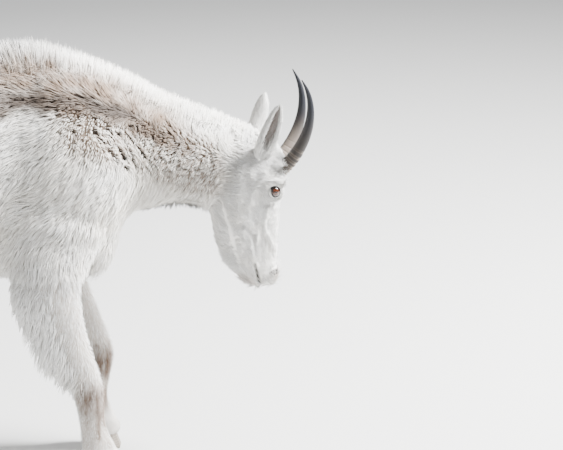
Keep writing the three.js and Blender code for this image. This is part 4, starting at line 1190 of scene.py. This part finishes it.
# Outward from the opening's edge: how far, how high over the eyeball, how dark, and how much hair
LID_PROFILE = [
    (-2.0, -3.0, 1, 0), (0.0, 0.2, 1, 0), (0.9, 1.5, 1, 0), (2.2, 2.3, 0.95, 0), (3.4, 2.5, 0.4, 0.6),
    (5.0, 1.9, 0.05, 1), (6.2, 0.7, 0.3, 1), (7.6, 1.7, 0, 1), (9.6, 1.2, 0, 1), (12.0, -0.4, 0, 1),
    (15.5, -3.6, 0, 0.4),
]
LID_AROUND = 48
LID_DARK = linear(0.06, 0.05, 0.05)


def lid_mesh(side):
    """The lids round one eye, from the wet rim on the eyeball, over the edge and out to the skin."""
    look = LID_LOOK
    along = unit(LID_LONG - look * (LID_LONG @ look))
    across = np.cross(look, along)
    turns = np.linspace(0, 2 * math.pi, LID_AROUND, endpoint=False)
    points = []
    for out, high, _, _ in LID_PROFILE:
        for turn in turns:
            c, s = math.cos(turn), math.sin(turn)
            corner = 1 + 0.22 * math.exp(-(((turn - 5.9) / 0.4) ** 2))
            corner += 0.16 * math.exp(-(((turn - 2.8) / 0.4) ** 2))
            reach = math.hypot(c * LID_OPENING[0], s * LID_OPENING[1]) * corner + out
            heavy = 1 + 0.55 * max(0, math.cos(turn - 2.5))
            lift = math.sqrt(max(EYE_RADIUS**2 - min(reach, EYE_RADIUS) ** 2, 4.0)) + high * heavy
            points.append(EYE + look * lift + unit(along * c + across * s) * reach)
    count = len(LID_PROFILE)
    faces = []
    for i in range(count):
        start, after = i * LID_AROUND, (i + 1) % count * LID_AROUND
        for j in range(LID_AROUND):
            m = (j + 1) % LID_AROUND
            faces.append((start + j, after + j, after + m, start + m))
    points = np.array(points) * [1, side, 1]
    marks = np.repeat(np.array(LID_PROFILE)[:, 2:], LID_AROUND, axis=0)
    return points, outward(points, np.array(faces)), marks


def lid_tone(marks):
    return mix(np.repeat(WHITE[None], len(marks), 0), LID_DARK, marks[:, 0])


def build_skin(atlas):
    """The whole skin, with ears and lids, as one piece; also its sheet, ears and lids for the hair."""
    points, faces = surface_net(*(grid_line(stops) for stops in SKIN_GRID), skin_distance)
    points = settle(skin_distance, points)
    faces = outward(points, faces)
    w = zones(points)
    colours = coat_colour(points)
    # Painted shade: the skin darkened beneath the fur, less on the head and the feet, so the gaps between
    # tufts look shaded; partly also the underwool's darker tone.
    shade = 0.9 - 0.6 * (1 - w["head"]) * (1 - w["foot"] * w["leg"])
    colours = colours * (SKIN_SHADE + (1 - SKIN_SHADE) * shade[:, None])
    crack, _ = furrow(points)
    # Painted shade: darker tan under the wool, for the shade in the gaps between clumps, and near-black
    # umber in the furrows' cracks.
    colours = mix(colours, TAN * 0.8, wool_zone(points, w) * 0.6)
    colours = mix(colours, UMBER * 0.35, ramp(7, 3, crack) * 0.9)
    _, smooth = slope(body_distance, points)
    folds = mesh_normals(points, faces)
    sheet = dict(points=points, faces=faces, normals=unit(unit(smooth) + folds * (1.6 * w["head"])[:, None]))
    all_points, all_faces, all_colours = [points], [faces], [colours]
    ears, lids = [], []
    for side in (-1, 1):
        ear, ear_faces, ear_marks = ear_mesh(side)
        lid, lid_faces, lid_marks = lid_mesh(side)
        ears.append((side, ear, ear_faces, ear_marks))
        lids.append((side, lid, lid_faces, lid_marks))
        all_colours += [ear_tone(ear, ear_marks), lid_tone(lid_marks)]
        for more_points, more_faces in ((ear, ear_faces), (lid, lid_faces)):
            all_faces.append(more_faces + sum(len(q) for q in all_points))
            all_points.append(more_points)
    points, faces = np.concatenate(all_points), np.concatenate(all_faces)
    piece = new_object("skin", points, faces)
    set_colours(piece.data, np.concatenate(all_colours))
    unwrap_faces(piece, points, faces, atlas)
    finish_piece(piece, "coat", SKIN, *FLESH)
    return sheet, ears, lids


def coat(name, sheet, atlas, count, weight, shape, generator):
    """One piece of fur: tufts rooted on the skin where weight is above 0."""
    root, n = sample(sheet["points"], sheet["faces"], sheet["normals"], count, weight, generator)
    n = unit(n)
    path, width = shape(root, n, zones(root), generator)
    vary = 1 + 0.12 * generator.standard_normal((len(root), 1))
    part = atlas.part_of(root)
    uv = atlas.uv(atlas.place(root, part), part)
    colours = np.stack([coat_colour(path[:, k]) * vary for k in range(path.shape[1])], 1)
    return finish_piece(tuft_mesh(name, path, width, n, colours, uv), "coat", FUR)


def bend(root, n, lie, length, height, stops, sink=2.5):
    """Path of tufts that rise from the root and then lie along the body."""
    path = []
    for t in stops:
        rise = height * (1 - (1 - t) ** 2.2)
        path.append(root - n * sink * (t == 0) + lie * (length * t)[:, None] + n * rise[:, None])
    return np.stack(path, 1)


def pull_together(path, root, size, seed, strength, stops):
    """Tips drawn towards the middle of their clump."""
    middle, tag, _ = clumps(root, size, seed)
    offset = (middle - root) * np.reshape(strength, (-1, 1))
    for k, t in enumerate(stops):
        path[:, k] += offset * t**1.6
    return path, tag


def flat_on(n, lie):
    """The lie, laid along the surface."""
    return unit(lie - n * (lie * n).sum(1)[:, None])


def keep_clear(path, root, n):
    """Hair beside a crack stops at its edge and heaps up there."""
    crack, away = furrow(root)
    away = flat_on(n, away)
    room = np.maximum(crack - 0.4, 0)
    for k in range(1, path.shape[1]):
        toward = -((path[:, k] - root) * away).sum(1)
        excess = np.maximum(toward - room, 0) * (crack < 26)
        path[:, k] += away * excess[:, None] + n * (0.12 * excess)[:, None]
    return path


BODY_STOPS = (0, 0.34, 1)


def body_hair(root, n, w, generator):
    """Hair of trunk, neck and legs: wavy on the shoulder, crinkled and cracked on the side of the neck."""
    count = len(root)
    x = root[:, 0]
    depth = coat_depth(root)
    crack, away = furrow(root)
    beside = np.cross(n, away)
    beside *= -np.sign(beside[:, 2:])
    lie = unit(lie_of(root, w)) + beside * (2.2 * ramp(15, 3, crack))[:, None]
    lie = flat_on(n, lie)
    wool = wool_zone(root, w)
    stand = ramp(125, 70, w["below"]) * (1 - w["head"]) * ramp(-700, -250, x) * (1 - wool)
    hang = near(root, *CHEST_FRINGE)
    throat = w["neck"] * ramp(185, 240, w["below"])
    length = 27 - 12 * w["leg"] - 6 * w["leg"] * w["cannon"] - 16 * wool
    length = length + 8 * stand + 24 * hang + 16 * throat
    length = length * (0.7 + 0.6 * generator.random(count)) * (1 - 0.45 * w["leg"] * w["foot"])
    height = depth * (0.5 + 0.42 * generator.random(count)) * (1 + 0.25 * wool + 0.5 * stand)
    stops = BODY_STOPS
    path = bend(root, n, lie, length, height, stops)
    path, tag = pull_together(path, root, 12, 41, 0.4 * (1 - 0.5 * w["leg"]) * (1 - wool), stops)
    gap, _ = wool_clumps(root)
    for k, t in enumerate(stops):
        path[:, k] += gap * (wool * (0.1 + 0.5 * t))[:, None]
    side = np.cross(lie, n)
    wave = (noise(root, 30, 51) * 5 * (1 - w["leg"] * 0.6) * (1 - wool))[:, None]
    path[:, 1] += side * wave * 0.5
    path[:, -1] += side * wave * -0.5 + n * ((tag - 0.5) * 3 * (1 - w["leg"]))[:, None]
    path = keep_clear(path, root, n)
    width = 2.0 - 0.5 * w["leg"] - 0.3 * w["cannon"] * w["leg"] + 0.1 * wool
    return path, width * (0.7 + 0.6 * generator.random(count))


def leg_hair(root, n, w, generator):
    """Hair of the lower legs, short and close."""
    path, width = body_hair(root, n, w, generator)
    return path[:, [0, 2]], width


def face_hair(root, n, w, generator):
    """Short hair of head and throat, almost flat on the muzzle, longer on brow, poll and jaw."""
    count = len(root)
    lie = lie_of(root, w)
    collar = near(root, *HORN_COLLAR)
    jaw_tuft = near(root, *JAW_TUFT)
    lie = lie + (np.array([-0.75, 0, -0.5]) - lie) * jaw_tuft[:, None]
    lie = flat_on(n, lie)
    low = ramp(700, 600, root[:, 2])
    muzzle = ramp(535, 480, root[:, 2]) * ramp(470, 505, root[:, 0])
    puff = near(root, *BEFORE_EAR)
    stop = near(root, *FOREHEAD)
    rear = ramp(475, 445, root[:, 0]) * ramp(480, 520, root[:, 2])
    beard = near(root, *BEARD)
    length = 14 - 5 * low - 4.5 * muzzle + 5 * puff + 8 * jaw_tuft + 9 * rear + 4 * stop - 8 * collar
    length = length * (0.7 + 0.6 * generator.random(count)) * (1 - 0.35 * beard)
    height = 4.6 - 2.2 * low - 1.3 * muzzle + 4 * puff + 5 * collar + 3 * jaw_tuft + 2 * stop
    height = height * (0.6 + 0.6 * generator.random(count)) * (1 - 0.6 * beard)
    stops = (0, 1)
    path = bend(root, n, lie, length, height, stops, 1.2)
    path, _ = pull_together(path, root, 8, 42, 0.4 * (1 - muzzle), stops)
    nose = near(root, *NOSE)[:, None, None]
    path = root[:, None] + (path - root[:, None]) * (1 - 0.55 * nose)
    width = 1.7 - 0.35 * low - 0.4 * muzzle + 0.3 * puff - 0.6 * collar
    return path, width * (0.7 + 0.6 * generator.random(count))


def crest_hair(root, n, w, generator):
    """The standing hair of the crest, leaning a little back, its tips on the crest's line."""
    x, y = root[:, 0], root[:, 1]
    count = len(x)
    slope_x = (crest_z(x + 20) - crest_z(x - 20)) / 40
    up = unit(columns(-slope_x - 0.12, -np.sign(y) * 0.05, 1))
    up = unit(up + 0.095 * generator.standard_normal(up.shape))
    edge = ramp(8, 46, np.abs(y))
    stray = generator.random(count) < 0.07
    ragged = 1.0 - 0.28 * generator.random(count) ** 1.4
    ragged = ragged + 0.08 * stray + 0.07 * noise(root * [1, 1, 0], 6, 65)
    reach = np.maximum(crest_z(x) - root[:, 2], 8) * ragged
    reach = reach * (1 - edge) + crest_tall(x) * 0.75 * edge
    stops = (0, 0.3, 0.68, 1)
    path = np.stack([root - n * 3 * (t == 0) + up * (reach * t)[:, None] for t in stops], 1)
    path, _ = pull_together(path, root, 11, 43, 0.55, stops)
    for k, t in enumerate(stops):
        path[:, k, 1] -= y * 0.35 * t
        path[:, k, 0] -= reach * 0.07 * t * t
    return path, 2.0 * (0.7 + 0.6 * generator.random(count))


def chaps_hair(root, n, w, generator):
    """Long hair behind the legs, falling down and back in pointed locks."""
    x, z = root[:, 0], root[:, 2]
    count = len(x)
    lie = unit(columns(-0.2 + 0.14 * noise(root, 40, 61), 0.1 * noise(root, 30, 62), -0.93))
    reach = np.zeros(count)
    for front, key in ((True, "fore"), (False, "hind")):
        rows = np.array(CHAPS[key], float)[::-1]
        own = (x > LEG_SPLIT) == front
        reach[own] = np.interp(z[own] - 34, rows[:, 0], rows[:, 1])
    length = (14 + reach * 0.85) * (0.55 + 0.55 * generator.random(count))
    lift = np.clip(reach * 0.1 + 3, 3, 7)
    stops = (0, 0.28, 0.66, 1)
    path = []
    for t in stops:
        rise = lift * math.sin(min(t * 2.2, math.pi / 2))
        path.append(root - n * 3 * (t == 0) + n * rise[:, None] + lie * (length * t)[:, None])
    path = np.stack(path, 1)
    path, _ = pull_together(path, root, 17, 44, 0.62, stops)
    wave = noise(root, 26, 63) * 5
    path[:, 2, 2] += wave
    path[:, 3, 0] -= wave
    return path, 2.3 * (0.7 + 0.6 * generator.random(count))


def chaps_weight(p):
    """Where the long hair behind the legs is rooted."""
    x, z = p[:, 0], p[:, 2]
    total = np.zeros(len(p))
    for name, rows in LEGS.items():
        table = chaps_table(name)
        own = (np.sign(p[:, 1]) == side_of(name)) & ((x > LEG_SPLIT) == name.startswith("fore"))
        kx = np.interp(z, [r[2] for r in rows[::-1]], [r[0] for r in rows[::-1]])
        rear = ramp(8, -30, x - kx)
        level = (z < table[0][0]) & (z > table[-1][0] - 6) & (np.abs(p[:, 1]) > 60)
        total = np.maximum(total, own * rear * level)
    return total


def build_coats(sheet, atlas):
    generator = np.random.default_rng(SEED)

    def crest_weight(p):
        w = zones(p)
        top = ramp(46, 20, np.abs(p[:, 1])) * (w["below"] < crest_tall(p[:, 0]) + 60)
        return top * (p[:, 0] < 512) * (p[:, 0] > -810) * (0.35 + 0.65 * ramp(-300, -50, p[:, 0]))

    def body_part(low, high):
        def weight(p):
            w = zones(p)
            own = (p[:, 0] >= low) * (p[:, 0] < high) * (1 - w["head"]) * (p[:, 2] > 520)
            crack, _ = furrow(p)
            _, clear = wool_clumps(p)
            gaps = 1 - 0.55 * wool_zone(p, w) * ramp(0.2, 0.06, clear)
            return own * (1 + 0.4 * w["neck"]) * ramp(0, 1.0, crack) * gaps
        return weight

    def legs(front):
        def weight(p):
            own = (p[:, 2] <= 520) & ((p[:, 0] > LEG_SPLIT) == front)
            return own * (1 + 0.8 * ramp(260, 200, p[:, 2]))
        return weight

    def head_weight(p):
        w = zones(p)
        eye = np.linalg.norm(folded(p) - EYE, axis=1)
        cleft = (p - MOUTH_CENTRE) @ MOUTH_ACROSS + 30 * ramp(-4, -14, (p - MOUTH_CENTRE) @ MOUTH_DOWN)
        collar = near(p, *HORN_COLLAR)
        nostril = near(p, *NOSTRIL_EDGE) < 0.15
        dense = 1 + 0.8 * ramp(700, 600, p[:, 2]) + 2.5 * collar
        beside_mouth = (cleft < -3.5) | (cleft > 6)
        return w["head"] * (eye > EYE_RADIUS + 3) * dense * nostril * beside_mouth

    for name, count, weight, shape in (
        ("fur_head", 48500, head_weight, face_hair),
        ("fur_neck", 31000, body_part(190, 600), body_hair),
        ("fur_chest", 33000, body_part(-140, 190), body_hair),
        ("fur_barrel", 27000, body_part(-500, -140), body_hair),
        ("fur_rump", 28000, body_part(-1000, -500), body_hair),
        ("fur_forelegs", 35000, legs(True), leg_hair),
        ("fur_hindlegs", 32000, legs(False), leg_hair),
        ("fur_crest", 15000, crest_weight, crest_hair),
        ("fur_leg_feathers", 7500, chaps_weight, chaps_hair),
    ):
        coat(name, sheet, atlas, count, weight, shape, generator)


def mesh_normals(points, faces):
    """Smooth outward directions at a mesh's points."""
    a, b, c = points[faces[:, 0]], points[faces[:, 1]], points[faces[:, 2]]
    facing = np.cross(b - a, c - a)
    total = np.zeros_like(points)
    for k in range(faces.shape[1]):
        np.add.at(total, faces[:, k], facing)
    return unit(total)


def joined_tufts(name, tufts, atlas):
    """One piece of fur from lists of paths, widths, outward ways and colours."""
    path, width, up, colours = (np.concatenate(column) for column in zip(*tufts))
    part = np.full(len(path), HEAD_TILE)
    uv = atlas.uv(atlas.place(path[:, 0], part), part)
    return finish_piece(tuft_mesh(name, path, width, up, colours, uv, 1.6), "coat", FUR)


def build_ear_coat(ears, atlas, count):
    """Short white hair on the ears' backs, longer at their rims, and thin grey hair in their hollows."""
    generator = np.random.default_rng(SEED + 1)
    tufts = []

    def above_foot(p):
        return ramp(722, 740, p[:, 2]) + 0.02

    for side, points, faces, marks in ears:
        normals = np.column_stack([mesh_normals(points, faces), marks])
        root, mixed = sample(points, faces, normals, count, above_foot, generator)
        n, marked = unit(mixed[:, :3]), mixed[:, 3:]
        hollow, rim = marked[:, 0], marked[:, 1]
        tall = EAR_POSES[side][1]
        along = np.array([31, 54 * side, 126.0 * tall]) + 18 * generator.standard_normal((count, 3))
        out = root - np.array([537, 76 * side, 738 + 57 * tall])
        along = unit(along) + unit(out) * (0.5 * rim)[:, None]
        along = unit(along - n * ((along * n).sum(1) * (1 - rim))[:, None])
        near_tip = ramp(795, 850, root[:, 2])
        low_rim = rim * ramp(800, 760, root[:, 2])
        length = 10 + 6 * rim + 8 * low_rim + 3 * hollow
        length = length * (0.6 + 0.7 * generator.random(count)) * (1 - 0.5 * near_tip)
        height = (3.0 + 0.6 * hollow + 2 * low_rim) * (0.3 + 1.2 * generator.random(count))
        path = bend(root, n, along, length, height, (0, 0.34, 1), 0.8)
        width = (1.5 - 0.4 * rim) * (0.7 + 0.6 * generator.random(count))
        tone = ear_tone(root, marked)
        tip_tone = mix(tone, WHITE, 0.35 * generator.random(count))
        # Painted shade: the ear hair's colour darker at its roots and along its middle.
        tufts.append((path, width, n, np.stack([tone * 0.7, tone * 0.94, tip_tone], 1)))
    joined_tufts("fur_ears", tufts, atlas)


def build_lid_coat(lids, atlas, count):
    """Very short hair on the lids, combed away from the eye."""
    generator = np.random.default_rng(SEED + 2)
    tufts = []
    for side, points, faces, marks in lids:
        normals = np.column_stack([mesh_normals(points, faces), marks])
        root, mixed = sample(points, faces, normals, 2 * count, lambda p: np.ones(len(p)), generator)
        eye = EYE * [1, side, 1]
        look = LID_LOOK * [1, side, 1]
        off = root - eye
        radial = unit(off - look * (off @ look)[:, None])
        outer = (mixed[:, :3] @ look > 0.1) & (mixed[:, 4] > 0.5)
        root, n, radial, dark = root[outer], unit(mixed[outer, :3]), radial[outer], mixed[outer, 3]
        number = len(root)
        along = flat_on(n, radial + [-0.35, 0, 0.25] + 0.25 * generator.standard_normal((number, 3)))
        length = 5.5 * (0.6 + 0.7 * generator.random(number))
        path = bend(root, n, along, length, 1.3 * (0.4 + generator.random(number)), (0, 1), 0.6)
        tone = mix(np.repeat(WHITE[None], number, 0), ASH, dark)
        width = 1.1 * (0.7 + 0.6 * generator.random(number))
        tufts.append((path, width, n, np.stack([tone, np.repeat(WHITE[None], number, 0)], 1)))
    joined_tufts("fur_lids", tufts, atlas)


EYE_AMBER = linear(0.34, 0.17, 0.10)
EYE_RIM = linear(0.05, 0.035, 0.03)
PUPIL = linear(0.015, 0.013, 0.02)


def build_eye(side):
    """A whole eyeball with its dark rim, amber iris and level pupil."""
    rings, around = 40, 64
    look = LID_LOOK
    level = unit(np.cross(look, [0, 0, 1]))
    rise = np.cross(level, look)
    points, colours = [EYE + look * EYE_RADIUS], [linear(0.02, 0.02, 0.02)]
    for i in range(1, rings):
        turn = math.pi * i / rings
        for j in range(around):
            a = 2 * math.pi * j / around
            flat = level * math.cos(a) + rise * math.sin(a)
            bulge = 0.7 * math.exp(-((turn / 0.62) ** 4))
            points.append(EYE + (look * math.cos(turn) + flat * math.sin(turn)) * (EYE_RADIUS + bulge))
            u, v = math.sin(turn) * math.cos(a) * EYE_RADIUS, math.sin(turn) * math.sin(a) * EYE_RADIUS
            r = math.hypot(u, v)
            pupil = (u / 4.0) ** 2 + (v / 2.2) ** 2 < 1
            fleck = 0.8 + 0.3 * math.sin(a * 37 + 3 * math.sin(a * 11))
            iris = EYE_AMBER * fleck * (1.15 - r / 18)
            edge = min(max((r - 8.0) / 1.4, 0), 1)
            tone = iris * (1 - edge) + EYE_RIM * edge
            colours.append(PUPIL if pupil else tone)
    points.append(EYE - look * EYE_RADIUS)
    colours.append(EYE_RIM)
    faces = []
    for j in range(around):
        m = (j + 1) % around
        faces.append((0, 1 + j, 1 + m, 1 + m))
        last = 1 + (rings - 2) * around
        faces.append((len(points) - 1, last + m, last + j, last + j))
        for i in range(rings - 2):
            a, b = 1 + i * around, 1 + (i + 1) * around
            faces.append((a + j, b + j, b + m, a + m))
    triangles = [f[:3] for f in faces] + [(f[0], f[2], f[3]) for f in faces if f[2] != f[3]]
    points = np.array(points) * [1, side, 1]
    name = "eyeball_right" if side < 0 else "eyeball_left"
    piece = new_object(name, points, outward(points, np.array(triangles)))
    set_colours(piece.data, np.array(colours))
    return finish_piece(piece, "eye", EYE_MATERIAL, "eye_right" if side < 0 else "eye_left")


# Horn stations: x, distance out, z, radius
HORN = [
    (560, 30, 694, 17), (577, 33, 709, 16.5), (596, 38, 730, 15.2), (613, 42, 756, 13.8),
    (626, 46, 784, 12.2), (634, 49, 812, 10.4), (637, 52, 841, 8.5), (635, 54, 868, 6.5),
    (628, 56, 893, 4.3), (616, 58, 917, 1.2),
]
# How far along a horn each growth ring is
HORN_RINGS = [4, 10, 16, 23, 31, 40, 51, 64, 80]
# The horns' colours: dark; near-black tips whose slight blue cast is painted reflection of the sky; a paler
# foot that is partly painted light; and the pale edge of a ring
HORN_DARK = np.array([0.036, 0.031, 0.028])
# Near-black tips, with a slight blue cast of painted sky reflection
HORN_TIP = np.array([0.013, 0.014, 0.018])
HORN_PALE = np.array([0.24, 0.20, 0.17])
HORN_EDGE = np.array([0.50, 0.41, 0.32])


def horn_colour(length, angle):
    """Dark above, browner and paler at the foot on its inner side, partly as painted light, with pale edges
    on the rings, mostly on their front, and painted shade in the rings' grooves.
    """
    front = ramp(0.35, 0.95, -math.cos(angle))
    inner = ramp(0.0, 0.8, math.sin(angle))
    tone = HORN_DARK + (HORN_TIP - HORN_DARK) * ramp(70, 190, length)
    # Painted light: the inner side paler at the foot, for the lit side that the far horn turns to the
    # camera; its brown is partly the foot's own tone.
    tone = tone + (HORN_PALE - tone) * inner * ramp(150, 40, length) * 0.75
    gap = min(abs(length - ring) for ring in HORN_RINGS)
    pale_ring_edge = ramp(4.5, 2.0, gap) * ramp(96, 60, length)
    tone = tone + (HORN_EDGE - tone) * pale_ring_edge * (0.12 + 0.75 * front)
    # Painted shade: darker right in the rings' grooves.
    return tone * (1 - 0.6 * ramp(1.6, 0.4, gap) * ramp(96, 70, length))


def build_horn(side):
    """A horn: smooth and dark above, with growth rings at its foot and fine grooves along it."""
    rows = smooth_rows(HORN, 18)
    around = 40
    lengths = np.concatenate([[0], np.cumsum(np.linalg.norm(np.diff(rows[:, :3], axis=0), axis=1))])
    points, colours = [], []
    for i, (x, out, z, r) in enumerate(rows):
        run = unit(rows[min(i + 1, len(rows) - 1), :3] - rows[max(i - 1, 0), :3])
        across = unit(np.cross(run, [0, 1, 0]))
        other = np.cross(run, across)
        gap = min(abs(lengths[i] - ring) for ring in HORN_RINGS)
        swell = (0.7 - 1.9 * math.exp(-((gap / 1.5) ** 2))) * ramp(96, 60, lengths[i])
        for j in range(around):
            a = 2 * math.pi * j / around
            groove = 0.14 * math.sin(a * 17) * min(r / 10, 1)
            size = max(r + swell * (0.75 - 0.35 * math.cos(a)) + groove, 0.4)
            points.append(np.array([x, out, z]) + (across * math.cos(a) + other * math.sin(a) * 0.94) * size)
            colours.append(horn_colour(lengths[i], a))
    rings = len(rows)
    faces, maps = [], []
    for i in range(rings - 1):
        for j in range(around):
            m = (j + 1) % around
            low, high = lengths[i] / 100, lengths[i + 1] / 100
            left, right = j / around, (j + 1) / around
            faces.append((i * around + j, i * around + m, (i + 1) * around + m, (i + 1) * around + j))
            maps.append([(left, low), (right, low), (right, high), (left, high)])
    faces = np.array(faces)
    cap = [(0, rows[0, :3]), (rings - 1, rows[-1, :3] + unit(rows[-1, :3] - rows[-2, :3]) * 1.2)]
    for ring, centre in cap:
        points.append(centre)
        colours.append(colours[ring * around])
    points = np.array(points) * [1, side, 1]
    ends = []
    for number, (ring, _) in enumerate(cap):
        for j in range(0, around, 2):
            k = ring * around
            quad = (len(points) - 2 + number, k + j, k + (j + 1) % around, k + (j + 2) % around)
            ends.append(quad if number else quad[::-1])
            maps.append([(j / around, lengths[ring] / 100)] * 4)
    faces = np.concatenate([faces, np.array(ends)])
    turned = outward(points, faces)
    maps = np.array(maps)
    if not np.array_equal(turned, faces):
        maps = maps[:, ::-1]
    piece = new_object("horn_ringed_right" if side < 0 else "horn_ringed_left", points, turned)
    set_colours(piece.data, np.array(colours))
    layer = piece.data.uv_layers.new(name="Grain")
    layer.data.foreach_set("uv", maps.astype(np.float32).ravel())
    return finish_piece(piece, "horn", HORN_MATERIAL, "horn_right" if side < 0 else "horn_left")


def build_hooves():
    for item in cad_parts:
        if "claw" in item:
            made = bpy.data.objects[item]
            made.data.materials.clear()
            made.data.materials.append(HOOF_MATERIAL)


# The camera's place and the point that it looks at
CAMERA_AT = np.array([-252.5, -4721.3, 1985.1])
CAMERA_AIM = np.array([580.0, 0.0, 565.0])
# The photo's focal length and width in pixels, on a sensor of 36 mm
LENS = 2175 / 563 * 36
# Lamps: place, size in metres and power in watts
LAMPS = (
    ("key", (3300, -450, 3600), 1.3, 1750), ("fill", (-2600, -3600, 2200), 4.0, 30),
    ("back", (-500, 3400, 3000), 3.0, 120),
)
LAMP_AIM = np.array([100.0, 0, 600])
SKY_COLOUR = (0.86, 0.88, 0.92, 1)
SKY_STRENGTH = 0.42
FLOOR_COLOUR = (0.62, 0.62, 0.61, 1)
FLOOR_HALF = 9000


def build_stage():
    corners = np.array([(-1, -1, 0), (1, -1, 0), (1, 1, 0), (-1, 1, 0)]) * FLOOR_HALF
    floor = new_object("floor", corners, [(0, 1, 2, 3)])
    made = bpy.data.materials.new("floor_pale")
    made.use_nodes = True
    shader = made.node_tree.nodes["Principled BSDF"]
    shader.inputs["Base Color"].default_value = FLOOR_COLOUR
    shader.inputs["Roughness"].default_value = 0.9
    floor.data.materials.append(made)
    camera = bpy.data.cameras.new("camera")
    camera.lens = LENS
    camera.sensor_width = 36
    camera.clip_end = 60
    holder = bpy.data.objects.new("camera", camera)
    holder.location = to_frame(CAMERA_AT)
    holder.rotation_euler = Vector(CAMERA_AIM - CAMERA_AT).to_track_quat("-Z", "Y").to_euler()
    bpy.context.scene.collection.objects.link(holder)
    bpy.context.scene.camera = holder
    for name, at, size, power in LAMPS:
        lamp = bpy.data.lights.new(name, "AREA")
        lamp.energy = power
        lamp.size = size
        made = bpy.data.objects.new(name, lamp)
        made.location = to_frame(at)
        made.rotation_euler = Vector(LAMP_AIM - at).to_track_quat("-Z", "Y").to_euler()
        bpy.context.scene.collection.objects.link(made)
    world = bpy.data.worlds.new("studio")
    world.use_nodes = True
    sky = world.node_tree.nodes["Background"]
    sky.inputs["Color"].default_value = SKY_COLOUR
    sky.inputs["Strength"].default_value = SKY_STRENGTH
    bpy.context.scene.world = world


build_stage()
ATLAS = Atlas()
SHEET, EARS, LIDS = build_skin(ATLAS)
build_coats(SHEET, ATLAS)
build_ear_coat(EARS, ATLAS, 5600)
build_lid_coat(LIDS, ATLAS, 1500)
for each_side in (-1, 1):
    build_eye(each_side)
    build_horn(each_side)
build_hooves()
